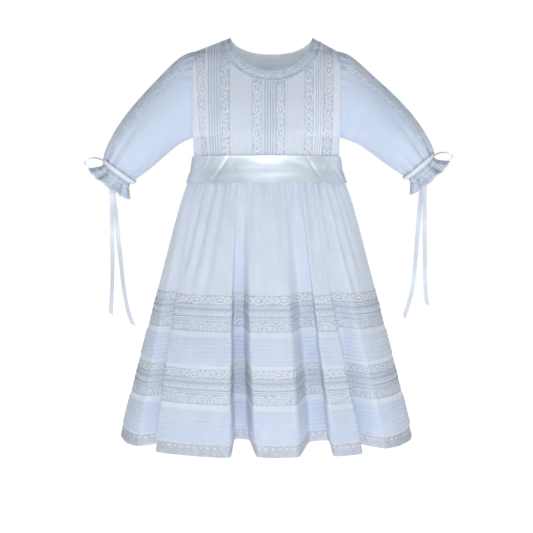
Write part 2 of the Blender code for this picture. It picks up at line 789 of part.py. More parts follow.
def smooth_path(points, count):
    """A smooth curve through points, with stations at even distances."""
    points = np.asarray(points, float)
    padded = np.vstack([2 * points[0] - points[1], points, 2 * points[-1] - points[-2]])
    fine = []
    for a, b, c, d in zip(padded, padded[1:], padded[2:], padded[3:]):
        for t in np.linspace(0.0, 1.0, 12, endpoint=False):
            fine.append(
                b
                + 0.5 * (c - a) * t
                + 0.5 * (2 * a - 5 * b + 4 * c - d) * t**2
                + 0.5 * (3 * b - a - 3 * c + d) * t**3
            )
    fine.append(points[-1])
    fine = np.array(fine)
    travelled = np.concatenate([[0.0], np.cumsum(np.linalg.norm(np.diff(fine, axis=0), axis=1))])
    even = np.linspace(0.0, travelled[-1], count)
    return np.stack([np.interp(even, travelled, fine[:, k]) for k in range(3)], axis=1)


def make_bow(hand):
    """The knot and the two loops of a small ribbon bow at the back of each cuff."""
    side = "left" if hand < 0 else "right"
    knot = knot_place(hand)
    ball = bmesh.new()
    bmesh.ops.create_icosphere(ball, subdivisions=2, radius=1.0)
    ball.verts.ensure_lookup_table()
    points = [knot + np.array(KNOT_HALF) * np.array(corner.co) for corner in ball.verts]
    faces = [tuple(corner.index for corner in face.verts) for face in ball.faces]
    ball.free()
    add_object(f"bow_knot_{side}", points, faces, "satin", SATIN_FINISH)
    for name, turn, reach, rise, behind in BOW_LOOPS:
        start = knot + np.array([hand * turn * (KNOT_HALF[0] - LOOP_INSET), 0.0, 0.0])
        loop = []
        for angle in np.linspace(LOOP_ENDS, -LOOP_ENDS, LOOP_STATIONS):
            share = 0.5 + 0.5 * math.cos(angle)
            tall = LOOP_HALF_HEIGHT * math.sin(angle) * (0.35 + 0.65 * math.sin(share * math.pi * 0.75))
            away = (hand * turn * reach * share, behind * (share**0.35 - LOOP_SEAT), rise * share + tall)
            loop.append(start + np.array(away))
        loop = np.array(loop)
        across = np.tile([0.0, 1.0, 0.0], (len(loop), 1))
        strip(f"bow_loop_{side}_{name}", loop, across, RIBBON_WIDTH, LOOP_THICKNESS, "satin", SATIN_FINISH)


def make_tails():
    for name, points in TAILS.items():
        path = smooth_path(points, TAIL_STATIONS)
        across = np.tile([1.0, 0.0, 0.0], (len(path), 1))
        strip(f"ribbon_tail_{name}", path, across, RIBBON_WIDTH, RIBBON, "satin", SATIN_FINISH)


def make_dress():
    clear_scene()
    make_bodice_front()
    make_neck_lace()
    make_placket()
    make_buttons()
    for hand in (-1, 1):
        make_bodice_back(hand)
        make_sleeve(hand)
        make_cuff_frill(hand)
        make_cuff_ribbon(hand)
        make_bow(hand)
    make_tails()
    make_sash()
    make_skirt_top()
    make_lace_band("skirt_lace_upper", LACE_UPPER_TOP_Z, TUCKS_UPPER_TOP_Z)
    make_tuck_band("skirt_tucks_upper", TUCKS_UPPER_TOP_Z, LACE_LOWER_TOP_Z, UPPER_TUCKS)
    make_lace_band("skirt_lace_lower", LACE_LOWER_TOP_Z, TUCKS_LOWER_TOP_Z)
    make_tuck_band("skirt_tucks_lower", TUCKS_LOWER_TOP_Z, BATISTE_HEM_Z, LOWER_TUCKS)
    make_net_hem()


make_dress()
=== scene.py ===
# A child's white lace dress, filled out as if worn: batiste bodice and skirt with lace insertion,
# pin tucks, a satin sash, and sleeves gathered into lace frills with ribbon bows.
# Sizes are in millimetres until a mesh is made. The front faces -Y, +X is to the right, +Z is up.

import math

import bmesh
import bpy
import numpy as np
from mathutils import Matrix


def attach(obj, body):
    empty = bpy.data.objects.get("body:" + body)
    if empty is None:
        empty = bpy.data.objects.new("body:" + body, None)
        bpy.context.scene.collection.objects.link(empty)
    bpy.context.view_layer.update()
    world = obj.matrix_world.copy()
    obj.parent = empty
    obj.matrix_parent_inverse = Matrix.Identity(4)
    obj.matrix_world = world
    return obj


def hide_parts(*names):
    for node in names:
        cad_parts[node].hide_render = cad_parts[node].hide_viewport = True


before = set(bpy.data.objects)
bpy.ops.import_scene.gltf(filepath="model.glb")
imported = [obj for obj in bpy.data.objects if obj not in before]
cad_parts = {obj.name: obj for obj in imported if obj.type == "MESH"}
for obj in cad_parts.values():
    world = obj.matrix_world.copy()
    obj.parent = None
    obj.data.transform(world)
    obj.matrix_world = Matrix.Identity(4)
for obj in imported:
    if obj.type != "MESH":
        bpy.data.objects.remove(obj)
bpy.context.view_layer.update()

MM = 0.001
UV_UNIT = 100.0  # millimetres of cloth for one step of its UV map
BODY = "root"

# The camera, fitted to the photograph
FRAME_PIXELS = 533
SENSOR = 36.0
FOCAL_PIXELS = 1062.3
CAMERA_DISTANCE = 1500.0
CAMERA_HEIGHT = -203.0
CAMERA_PITCH = 0.0774
CAMERA_REACH = 50.0

# The studio: each lamp's name, place and aim in metres, its disk's size and its power
LAMPS = (
    ("key", (0.05, -3.2, -0.05), (0.0, 0.0, -0.28), 0.5, 31.0),
    ("top", (0.1, -1.8, 1.5), (0.0, 0.0, -0.2), 1.4, 6.0),
)
AMBIENT = 0.22
LIGHT_TINT = (0.87, 0.935, 1.0)
WHITE = (1.0, 1.0, 1.0, 1.0)
FLOOR_Z = -900.0
FLOOR_HALF = 8.0
FLOOR_GLOW = 0.9

# The neck, the shoulders and the armholes
SEAM_GAP = 0.3
SLEEVE_SEAM_GAP = 0.03
NECK_HALF_WIDTH = 57.0
NECK_SHIFT = 7.0
NECK_DROP = {"front": 50.0, "back": 20.0}
NECK_LACE_WIDTH = 14.0
SHOULDER_X = 100.0
SHOULDER_Z = -19.0
UNDERARM_X = 103.0
UNDERARM_Z = -137.0
ARMHOLE_HALF_DEPTH = 36.0

# The sash and the skirt's seams, from the top down
WAIST_Z = -183.0
SASH_TOP_Z = -165.0
SASH_BOTTOM_Z = -201.0
SASH_EASE = 0.9
LACE_UPPER_TOP_Z = -348.5
TUCKS_UPPER_TOP_Z = -396.0
LACE_LOWER_TOP_Z = -444.0
TUCKS_LOWER_TOP_Z = -489.0
BATISTE_HEM_Z = -540.0
NET_HEM_Z = -556.0
TUCK_PITCH = 5.7
UPPER_TUCKS = 6
LOWER_TUCKS = 7
PLAIN_ABOVE_TUCKS = 8.5
SQUARENESS = 2.3

# Walls
CLOTH = 0.5
RIBBON = 0.6
LACE_RUFFLE = 0.4
PLACKET = 0.7

LEVELS = np.array(
    [
        # z, half width, half depth
        (-137.0, 103.0, 77.0),
        (-165.0, 102.0, 77.0),
        (-183.0, 105.2, 80.0),
        (-201.0, 110.8, 86.0),
        (-225.0, 119.6, 94.0),
        (-260.0, 129.4, 103.0),
        (-302.0, 140.2, 112.0),
        (-344.0, 151.6, 120.0),
        (-387.0, 162.8, 128.0),
        (-430.0, 174.4, 136.0),
        (-473.0, 185.6, 143.0),
        (-516.0, 197.2, 149.0),
        (-556.0, 206.8, 154.0),
    ]
)
BODY_DEPTH = np.array(
    [
        # below the shoulder line, front, back
        (0.0, 0.15, 0.15),
        (8.0, 15.0, 13.0),
        (20.0, 28.0, 26.0),
        (35.0, 38.0, 36.0),
        (53.0, 48.0, 45.0),
        (75.0, 59.0, 54.0),
        (100.0, 69.0, 64.0),
        (137.0, 77.0, 74.0),
        (165.0, 77.0, 77.0),
        (183.0, 80.0, 80.0),
    ]
)
HOLLOWS = np.array(
    [
        # angle at the waist, angle at the hem, half angles before and after it, share of the full depth
        (-16.0, -8.6, 1.2, 5.0, 1.00),
        (18.6, 20.0, 8.5, 1.2, 0.86),
        (29.0, 36.9, 1.2, 10.0, 0.56),
        (104.0, 102.0, 6.5, 5.0, 0.50),
        (128.0, 129.0, 7.5, 4.0, 0.80),
        (154.0, 155.0, 4.0, 8.0, 0.90),
        (176.0, 178.0, 5.5, 5.5, 0.70),
        (203.0, 201.0, 8.0, 3.5, 0.95),
        (229.0, 231.0, 4.5, 8.0, 0.75),
        (255.0, 256.0, 6.5, 6.5, 0.50),
        (303.0, 315.0, 9.0, 1.2, 0.56),
    ]
)
# A hollow is flat within the first share of its half angle and has ended by the second
HOLLOW_BENDS = (0.7, 1.3)
# A wide, shallow hollow round each one: how far it reaches and its share of the depth
WIDE_HOLLOW = 2.4
WIDE_SHARE = 0.16
# Hollows run straight back over this share of the half width, and turn to the middle over the next
STRAIGHT_WIDTH = 0.44
TURNED_WIDTH = 0.4
HOLLOW_RISE = 0.08
HOLLOW_DEPTH = np.array(
    [
        # z, depth of a full hollow
        (-183.0, 0.0),
        (-225.0, 5.0),
        (-302.0, 17.0),
        (-387.0, 36.0),
        (-473.0, 58.0),
        (-556.0, 78.0),
    ]
)
SLEEVE = np.array(
    [
        # upper edge x out, upper edge z, lower edge x out, lower edge z, half depth
        (116.0, -24.5, 107.0, -139.5, 37.5),
        (131.0, -36.0, 114.0, -142.5, 39.0),
        (153.0, -58.0, 124.5, -148.5, 40.5),
        (174.0, -80.0, 137.0, -158.5, 41.0),
        (194.0, -103.0, 150.5, -170.0, 40.0),
        (210.5, -126.0, 164.5, -182.0, 36.5),
        (222.5, -148.0, 178.0, -192.5, 31.0),
        (228.5, -163.5, 187.0, -199.5, 26.0),
        (228.0, -175.0, 192.0, -202.0, 22.5),
    ]
)
SLEEVE_LIFT = {-1: math.radians(0.0), 1: math.radians(4.0)}

FRILL_LENGTH = 19.0
FRILL_RUFFLES = 9
FRILL_PICOTS = 54
FRILL = np.array(
    [
        # share of its length, half size beyond the cuff seam's, ruffle depth
        (0.0, 0.6, 0.8),
        (0.3, 2.0, 1.4),
        (0.65, 6.5, 2.8),
        (1.0, 11.0, 4.2),
    ]
)

RIBBON_WIDTH = 6.0
CUFF_RIBBON_BACK = 0.6
KNOT_ANGLE = math.radians(60.0)
KNOT_STAND_OFF = 9.2
KNOT_HALF = (3.6, 2.8, 3.2)
LOOP_HALF_HEIGHT = 8.0
LOOP_SEAT = 0.05
BOW_LOOPS = (
    # name, outwards or inwards, reach, rise at its end, how far it leans back
    ("outer", 1, 36.0, 4.0, 1.0),
    ("inner", -1, 29.0, -6.0, 17.0),
)
TAILS = {
    "left_a": [
        # x, y, z
        (-221.4, 26.5, -179.8),
        (-224.0, 32.5, -186.5),
        (-225.5, 38.5, -196.0),
        (-225.0, 41.5, -207.0),
        (-224.0, 42.0, -218.0),
        (-224.0, 41.0, -253.0),
        (-224.0, 40.0, -320.0),
        (-225.0, 39.0, -354.0),
        (-227.0, 38.5, -392.0),
    ],
    "left_b": [
        (-219.4, 28.4, -179.8),
        (-220.5, 35.5, -186.5),
        (-221.5, 42.5, -196.0),
        (-221.5, 45.5, -207.0),
        (-221.5, 46.0, -220.0),
        (-219.0, 45.0, -245.0),
        (-216.0, 44.5, -278.0),
        (-212.0, 44.0, -320.0),
        (-208.5, 43.0, -354.0),
        (-202.0, 42.0, -388.0),
        (-195.0, 41.5, -408.0),
    ],
    "right_a": [
        (228.2, 26.5, -171.4),
        (230.5, 32.5, -178.5),
        (231.0, 38.5, -188.0),
        (230.0, 41.5, -199.0),
        (229.0, 42.0, -212.0),
        (229.0, 41.0, -250.0),
        (230.0, 40.0, -300.0),
        (231.0, 39.0, -350.0),
        (234.0, 38.5, -378.0),
    ],
    "right_b": [
        (226.0, 28.4, -171.4),
        (225.5, 35.5, -178.5),
        (225.0, 42.5, -188.0),
        (225.0, 45.5, -199.0),
        (224.5, 46.0, -216.0),
        (221.5, 45.0, -250.0),
        (219.0, 44.5, -288.0),
        (216.5, 44.0, -323.0),
        (212.5, 43.0, -357.0),
        (207.0, 42.0, -379.0),
        (201.0, 41.5, -397.0),
    ],
}

BUTTONS = 5
BUTTON_RADIUS = 4.5
BUTTON_HEIGHT = 2.2
BUTTON_SEAT = 1.5
FIRST_BUTTON_Z = -44.0
LAST_BUTTON_Z = -150.0
PLACKET_HALF_WIDTH = 8.0
PLACKET_LIFT = 0.9


class Number:
    """A number in a material's nodes; arithmetic on it adds Math nodes."""

    def __init__(self, finish, socket):
        self.finish, self.socket = finish, socket

    def math(self, operation, *values):
        inputs = dict(enumerate(values))
        node = self.finish.node("ShaderNodeMath", {"operation": operation}, inputs)
        return Number(self.finish, node.outputs[0])

    def __add__(self, other):
        return self.math("ADD", self, other)

    def __sub__(self, other):
        return self.math("SUBTRACT", self, other)

    def __rsub__(self, other):
        return self.math("SUBTRACT", other, self)

    def __mul__(self, other):
        return self.math("MULTIPLY", self, other)

    def __truediv__(self, other):
        return self.math("DIVIDE", self, other)

    __radd__ = __add__
    __rmul__ = __mul__

    def sine(self):
        return self.math("SINE", self)

    def wave(self, pitch):
        """A sine along a distance, one turn for each pitch."""
        return (self * (2 * math.pi / pitch)).sine()

    def size(self):
        return self.math("ABSOLUTE", self)

    def fraction(self):
        return self.math("FRACT", self)

    def ramp(self, low, high):
        """0 below low and 1 above high, smooth between them."""
        settings = {"interpolation_type": "SMOOTHSTEP"}
        inputs = {"Value": self, "From Min": low, "From Max": high}
        node = self.finish.node("ShaderNodeMapRange", settings, inputs)
        return Number(self.finish, node.outputs[0])


WEAVE_PITCH = 0.7
HAIRLINE_PITCH = 2.9
LACE_NET_PITCH = 1.6
PUCKER_PITCH = 3.1
BEADING_PITCH = 2.4
NET_PITCH = 1.4
SATIN_RIB_PITCH = 0.5
THIN_CLOTH = {
    "Sheen_Weight": 0.1,
    "Specular_IOR_Level": 0.2,
    "Subsurface_Weight": 0.75,
    "Subsurface_Radius": (1.0, 1.0, 1.0),
    "Subsurface_Scale": 0.0015,
}


class Finish:
    """A material with one Principled shader."""

    def __init__(self, name, colour, roughness, **shader_values):
        self.material = bpy.data.materials.new(name)
        self.material.use_nodes = True
        self.tree = self.material.node_tree
        self.shader = self.tree.nodes["Principled BSDF"]
        self.set(self.shader, "Base Color", (*colour, 1.0))
        self.set(self.shader, "Roughness", roughness)
        for socket, value in shader_values.items():
            self.set(self.shader, socket.replace("_", " "), value)

    def set(self, node, key, value):
        socket = node.inputs[key]
        if isinstance(value, Number):
            value = value.socket
        if isinstance(value, bpy.types.NodeSocket):
            self.tree.links.new(value, socket)
        else:
            socket.default_value = value

    def node(self, kind, settings=None, inputs=None):
        made = self.tree.nodes.new(kind)
        for name, value in (settings or {}).items():
            setattr(made, name, value)
        for key, value in (inputs or {}).items():
            self.set(made, key, value)
        return made

    def place(self):
        """Millimetres along and down the cloth, from its UV map."""
        coordinates = self.node("ShaderNodeUVMap", {"uv_map": "cloth"})
        parts = self.node("ShaderNodeSeparateXYZ", inputs={"Vector": coordinates.outputs[0]})
        return (Number(self, parts.outputs[k]) * UV_UNIT for k in range(2))

    def noise(self, scale, detail=3.0, stretch=(1.0, 1.0, 1.0)):
        """Noise on the object's own coordinates, about 0.5; scale is in lumps a metre."""
        where = self.node("ShaderNodeTexCoord")
        inputs = {"Vector": where.outputs["Object"], "Scale": stretch}
        moved = self.node("ShaderNodeMapping", {"vector_type": "POINT"}, inputs)
        inputs = {"Vector": moved.outputs[0], "Scale": scale, "Detail": detail}
        made = self.node("ShaderNodeTexNoise", inputs=inputs)
        return Number(self, made.outputs["Fac"])

    def tint(self, share, low, high):
        """A colour from low to high by a share."""
        inputs = {0: share, 6: (*low, 1.0), 7: (*high, 1.0)}
        mixed = self.node("ShaderNodeMix", {"data_type": "RGBA"}, inputs)
        return mixed.outputs[2]

    def colour(self, share, low, high):
        self.set(self.shader, "Base Color", self.tint(share, low, high))

    def bump(self, height, distance, strength=1.0):
        inputs = {"Height": height, "Distance": distance * MM, "Strength": strength}
        made = self.node("ShaderNodeBump", inputs=inputs)
        self.set(self.shader, "Normal", made.outputs[0])

    def net(self, pitch):
        """A hexagonal net: high in the middle of each hole and low on the threads."""
        along, down = self.place()
        turn = 2.0 * math.pi / pitch
        first = (along * turn + math.pi / 2).sine()
        second = ((along * -0.5 + down * 0.866) * turn + math.pi / 2).sine()
        third = ((along * -0.5 - down * 0.866) * turn + math.pi / 2).sine()
        return first + second + third


def batiste(name, low, high):
    """Fine cotton, thinly woven, a little uneven in the thread."""
    finish = Finish(name, high, 0.85, **THIN_CLOTH)
    slub = finish.noise(90.0, 4.0, (1.0, 1.0, 0.25))
    cloud = finish.noise(11.0, 2.0)
    finish.colour((slub * 0.5 + cloud * 0.5).ramp(0.36, 0.64), low, high)
    along, down = finish.place()
    weave = along.wave(WEAVE_PITCH) * 0.5 + down.wave(WEAVE_PITCH) * 0.5
    finish.bump(weave + slub * 3.0, 0.03, 0.5)
    return finish.material


def lined_batiste():
    """Batiste with hairline tucks down it, each tuck's line painted darker: painted shade in its groove.
    """
    finish = Finish("lined batiste", (0.80, 0.84, 0.92), 0.85, **THIN_CLOTH)
    along, _ = finish.place()
    # Each line is painted darker where the bump sinks it: painted shade.
    line = (along / HAIRLINE_PITCH).fraction().ramp(0.55, 0.8)
    finish.colour(line, (0.78, 0.82, 0.90), (0.64, 0.69, 0.79))
    finish.bump(line * -1.0, 0.15, 0.6)
    return finish.material


def lace_ground(name, low, high, gathered):
    """The net of the lace with its threads; gathered lace has small uneven puckers across it, painted
    lighter on their crests and darker between them: painted highlight and shade.
    """
    finish = Finish(name, high, 0.9, Specular_IOR_Level=0.2)
    net = finish.net(LACE_NET_PITCH)
    finish.set(finish.shader, "Alpha", 1.0 - net.ramp(1.1, 2.0) * 0.55)
    mottle = finish.noise(190.0, 3.0)
    along, _ = finish.place()
    wander = finish.noise(60.0, 2.0) * 9.0
    pucker = (along * (2 * math.pi / PUCKER_PITCH) + wander).sine() * 0.5 + 0.5
    # For gathered lace the colour follows the puckers: painted highlight on their crests and painted shade
    # between them.
    finish.colour(mottle.ramp(0.35, 0.65) * (1.0 - gathered) + pucker * gathered, low, high)
    finish.bump(net * (-0.3) + pucker * (3.0 * gathered), 0.2, 0.7)
    return finish.material


def lace_relief():
    """The closely worked thread of the lace's flowers and leaves."""
    finish = Finish("lace motifs", (0.84, 0.87, 0.93), 0.8, Specular_IOR_Level=0.25)
    thread = finish.noise(900.0, 2.0)
    finish.colour(thread.ramp(0.3, 0.7), (0.75, 0.82, 0.97), (0.84, 0.90, 1.0))
    finish.bump(thread, 0.1, 0.6)
    return finish.material


def entredeux():
    """A narrow beading strip: two cords with a row of small holes between them."""
    finish = Finish("entredeux", (0.80, 0.83, 0.88), 0.85, Specular_IOR_Level=0.25)
    along, _ = finish.place()
    rung = (along / BEADING_PITCH).fraction() - 0.5
    shade = rung.size().ramp(0.16, 0.3)
    finish.colour(shade, (0.56, 0.59, 0.66), (0.78, 0.81, 0.87))
    finish.bump(shade, 0.25, 0.7)
    return finish.material


def net_finish():
    """Soft cotton net."""
    finish = Finish("cotton net", (0.61, 0.63, 0.71), 0.9, Specular_IOR_Level=0.2)
    net = finish.net(NET_PITCH)
    finish.set(finish.shader, "Alpha", 1.0 - net.ramp(1.0, 1.9) * 0.6)
    mottle = finish.noise(160.0, 3.0)
    finish.colour(mottle.ramp(0.35, 0.65), (0.56, 0.58, 0.66), (0.66, 0.68, 0.76))
    finish.bump(net * -1.0, 0.12, 0.6)
    return finish.material


def satin(name, low, high, metallic, coat):
    """Silk satin with its fine warp ridges and a broad soft shine."""
    shine = {"Metallic": metallic, "Specular_IOR_Level": 0.6}
    finish = Finish(name, high, 0.34, **shine, Coat_Weight=coat, Coat_Roughness=0.45)
    cloud = finish.noise(14.0, 3.0)
    finish.colour(cloud.ramp(0.3, 0.7), low, high)
    _, down = finish.place()
    rib = down.wave(SATIN_RIB_PITCH)
    slub = finish.noise(220.0, 2.0, (0.15, 0.15, 1.0))
    finish.set(finish.shader, "Roughness", slub * 0.12 + (0.38 if metallic else 0.3))
    finish.bump(rib * 0.4 + slub * 1.5, 0.03, 0.35)
    return finish.material


def pearl():
    """Mother-of-pearl."""
    finish = Finish("pearl", (0.86, 0.87, 0.88), 0.2, Coat_Weight=0.5, Specular_IOR_Level=0.6)
    cloud = finish.noise(350.0, 3.0)
    finish.colour(cloud.ramp(0.35, 0.65), (0.74, 0.78, 0.84), (0.86, 0.86, 0.88))
    finish.bump(cloud, 0.05, 0.4)
    return finish.material


def sewing_thread():
    """Twisted white cotton."""
    finish = Finish("sewing thread", (0.78, 0.84, 0.94), 0.6)
    twist = finish.noise(1500.0, 1.0)
    finish.colour(twist, (0.70, 0.76, 0.87), (0.82, 0.87, 0.95))
    return finish.material


FINISHES = {
    "batiste": batiste("batiste", (0.76, 0.80, 0.89), (0.80, 0.84, 0.93)),
    # The skirt's batiste is a slightly darker copy of the bodice's: painted shade.
    "skirt batiste": batiste("skirt batiste", (0.695, 0.74, 0.85), (0.745, 0.79, 0.895)),
    # The sleeves' batiste is a darker copy of the bodice's: painted shade.
    "sleeve batiste": batiste("sleeve batiste", (0.60, 0.665, 0.82), (0.64, 0.705, 0.86)),
    "lined batiste": lined_batiste(),
    # Inside the neck the batiste is painted lighter: painted light on the inner wall.
    "neck inside": batiste("neck inside", (0.86, 0.90, 0.99), (0.90, 0.94, 1.0)),
    # Under each tuck the batiste is painted darker: painted shade.
    "tuck line": batiste("tuck line", (0.52, 0.555, 0.645), (0.57, 0.605, 0.695)),
    "lace ground": lace_ground("lace ground", (0.54, 0.595, 0.71), (0.67, 0.725, 0.83), 0.0),
    "gathered lace": lace_ground("gathered lace", (0.55, 0.605, 0.72), (0.70, 0.755, 0.86), 0.8),
    "lace motifs": lace_relief(),
    "entredeux": entredeux(),
    "net": net_finish(),
    "sash satin": satin("sash satin", (0.72, 0.78, 0.85), (0.90, 0.94, 0.97), 0.3, 0.4),
    "ribbon": satin("ribbon satin", (0.66, 0.69, 0.74), (0.76, 0.79, 0.83), 0.0, 0.1),
    "pearl": pearl(),
    "thread": sewing_thread(),
}


def smooth_step(t):
    t = np.clip(t, 0.0, 1.0)
    return t * t * (3.0 - 2.0 * t)


def at_height(table, z, column):
    """A table's value at a height, the table running from the top down."""
    return np.interp(-np.asarray(z, float), -table[:, 0], table[:, column])


def normals_of(grid, closed):
    """Unit normals of a grid of points, rows down and columns to the right as seen from outside."""
    if closed:
        across = np.roll(grid, -1, axis=1) - np.roll(grid, 1, axis=1)
    else:
        across = np.gradient(grid, axis=1)
    out = np.cross(np.gradient(grid, axis=0), across)
    return out / np.maximum(np.linalg.norm(out, axis=2, keepdims=True), 1e-9)


NORMAL_REACH = 2


class Cloth:
    """A piece of cloth as a grid of points: rows run down it and columns along it."""

    def __init__(self, points, closed=False):
        self.points, self.closed = points, closed
        self.normals = normals_of(points, closed)
        self.ring = np.concatenate([points, points[:, :1]], axis=1) if closed else points
        spans = np.linalg.norm(np.diff(self.ring, axis=1), axis=2).mean(axis=0)
        self.along = np.concatenate([[0.0], np.cumsum(spans)])
        drops = np.linalg.norm(np.diff(points, axis=0), axis=2).mean(axis=1)
        self.down = np.concatenate([[0.0], np.cumsum(drops)])
        self.relief_normals = None

    def smoothed_normals(self):
        """The normals averaged with their neighbours', so that relief bends round a corner."""
        soft = self.normals
        for axis in (0, 1):
            wide = [(0, 0), (0, 0), (0, 0)]
            wide[axis] = (NORMAL_REACH, NORMAL_REACH)
            mode = "wrap" if axis == 1 and self.closed else "edge"
            padded = np.pad(soft, wide, mode=mode)
            size = soft.shape[axis]
            shifts = range(2 * NORMAL_REACH + 1)
            soft = sum(np.take(padded, range(k, k + size), axis=axis) for k in shifts)
        soft = soft / np.maximum(np.linalg.norm(soft, axis=2, keepdims=True), 1e-9)
        return np.concatenate([soft, soft[:, :1]], axis=1) if self.closed else soft

    def at(self, along, down, out):
        """Points at distances along and down the cloth, and out from it."""
        column = np.interp(along, self.along, np.arange(len(self.along)))
        row = np.interp(down, self.down, np.arange(len(self.down)))
        j = np.clip(column.astype(int), 0, len(self.along) - 2)
        i = np.clip(row.astype(int), 0, len(self.down) - 2)
        s, t = (column - j)[:, None], (row - i)[:, None]
        if self.relief_normals is None:
            self.relief_normals = self.smoothed_normals()
        mixed = []
        for field in (self.ring, self.relief_normals):
            above = field[i, j] * (1 - s) + field[i, j + 1] * s
            below = field[i + 1, j] * (1 - s) + field[i + 1, j + 1] * s
            mixed.append(above * (1 - t) + below * t)
        place, normal = mixed
        normal /= np.maximum(np.linalg.norm(normal, axis=1, keepdims=True), 1e-9)
        return place + normal * np.asarray(out)[:, None]


def add_mesh(name, points, faces, finishes, uv=None, indices=None, sharp=40.0):
    """A smooth-shaded mesh object from points in millimetres."""
    mesh = bpy.data.meshes.new(name)
    mesh.from_pydata((np.asarray(points) * MM).tolist(), [], np.asarray(faces).tolist())
    for finish in finishes:
        mesh.materials.append(FINISHES[finish])
    if uv is not None:
        layer = mesh.uv_layers.new(name="cloth")
        layer.data.foreach_set("uv", (np.asarray(uv, np.float32) / UV_UNIT).ravel())
    if indices is not None:
        mesh.polygons.foreach_set("material_index", np.asarray(indices, np.int32))
    mesh.shade_smooth()
    mesh.set_sharp_from_angle(angle=math.radians(sharp))
    mesh.validate()
    placed = bpy.data.objects.new(name, mesh)
    bpy.context.scene.collection.objects.link(placed)
    return placed


def shell(
    node,
    slot,
    cloth,
    finishes,
    thickness=CLOTH,
    row_finish=None,
    column_finish=None,
    inner_rows=None,
    inner_finish=None,
):
    """A thin closed wall on a cloth grid, which stands in for a node of the solids.

    row_finish or column_finish gives each span its material, and inner_finish the whole inner wall.
    inner_rows thins the inner wall's rows, for a cloth that is closed round.
    """
    rows, columns = cloth.points.shape[:2]
    if inner_rows is None:
        inner_rows = np.arange(rows)
    inside = (cloth.points - thickness * cloth.normals)[inner_rows]
    points = np.concatenate([cloth.points.reshape(-1, 3), inside.reshape(-1, 3)])
    start, last = rows * columns, rows - 1
    inner_last = len(inner_rows) - 1
    spans = np.arange(columns if cloth.closed else columns - 1)
    faces, corners, picked = [], [], []

    def finish_of(row, span):
        if row_finish is not None:
            return np.asarray(row_finish)[np.minimum(row, last - 1)] + 0 * span
        if column_finish is not None:
            return np.asarray(column_finish)[span] + 0 * row
        return 0 * row + 0 * span

    def add(quads, rows_at, columns_at, row, span):
        faces.append(np.stack(quads, axis=-1).reshape(-1, 4))
        place = np.stack([cloth.along[np.stack(columns_at, -1)], cloth.down[np.stack(rows_at, -1)]], -1)
        corners.append(place.reshape(-1, 2))
        picked.append(np.asarray(finish_of(row, span)).ravel())

    i, j = np.meshgrid(np.arange(last), spans, indexing="ij")
    after = (j + 1) % columns
    quads = [i * columns + j, (i + 1) * columns + j, (i + 1) * columns + after, i * columns + after]
    add(quads, [i, i + 1, i + 1, i], [j, j, j + 1, j + 1], i, j)

    i, j = np.meshgrid(np.arange(inner_last), spans, indexing="ij")
    after = (j + 1) % columns
    here, below = start + i * columns, start + (i + 1) * columns
    upper, lower = np.asarray(inner_rows)[i], np.asarray(inner_rows)[i + 1]
    quads = [here + j, here + after, below + after, below + j]
    add(quads, [upper, upper, lower, lower], [j, j + 1, j + 1, j], upper, j)
    if inner_finish is not None:
        picked[-1][:] = inner_finish

    after = (spans + 1) % columns
    zero, bottom = 0 * spans, last + 0 * spans
    inner_bottom = start + inner_last * columns
    top_rim = [spans, after, start + after, start + spans]
    add(top_rim, [zero] * 4, [spans, spans + 1, spans + 1, spans], zero, spans)
    low_rim = [last * columns + spans, inner_bottom + spans, inner_bottom + after, last * columns + after]
    add(low_rim, [bottom] * 4, [spans, spans, spans + 1, spans + 1], bottom, spans)
    if not cloth.closed:
        i = np.arange(last)
        end = columns - 1
        for edge, flip in ((0, True), (end, False)):
            here, below = i * columns + edge, (i + 1) * columns + edge
            quads = [here, below, start + below, start + here]
            levels = [i, i + 1, i + 1, i]
            if flip:
                quads, levels = quads[::-1], levels[::-1]
            add(quads, levels, [0 * i + edge] * 4, i, 0 * i + min(edge, end - 1))
    joined = [np.concatenate(parts) for parts in (faces, corners, picked)]
    piece = add_mesh(f"{node}_cloth", points, joined[0], finishes, joined[1], joined[2])
    hand_in(piece, slot, node)
    return piece


def hand_in(piece, slot, *nodes):
    """Ties a finished piece to the model's body and hides the solids that it stands for; its slot is not
    used.
    """
    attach(piece, BODY)
    if nodes:
        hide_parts(*nodes)


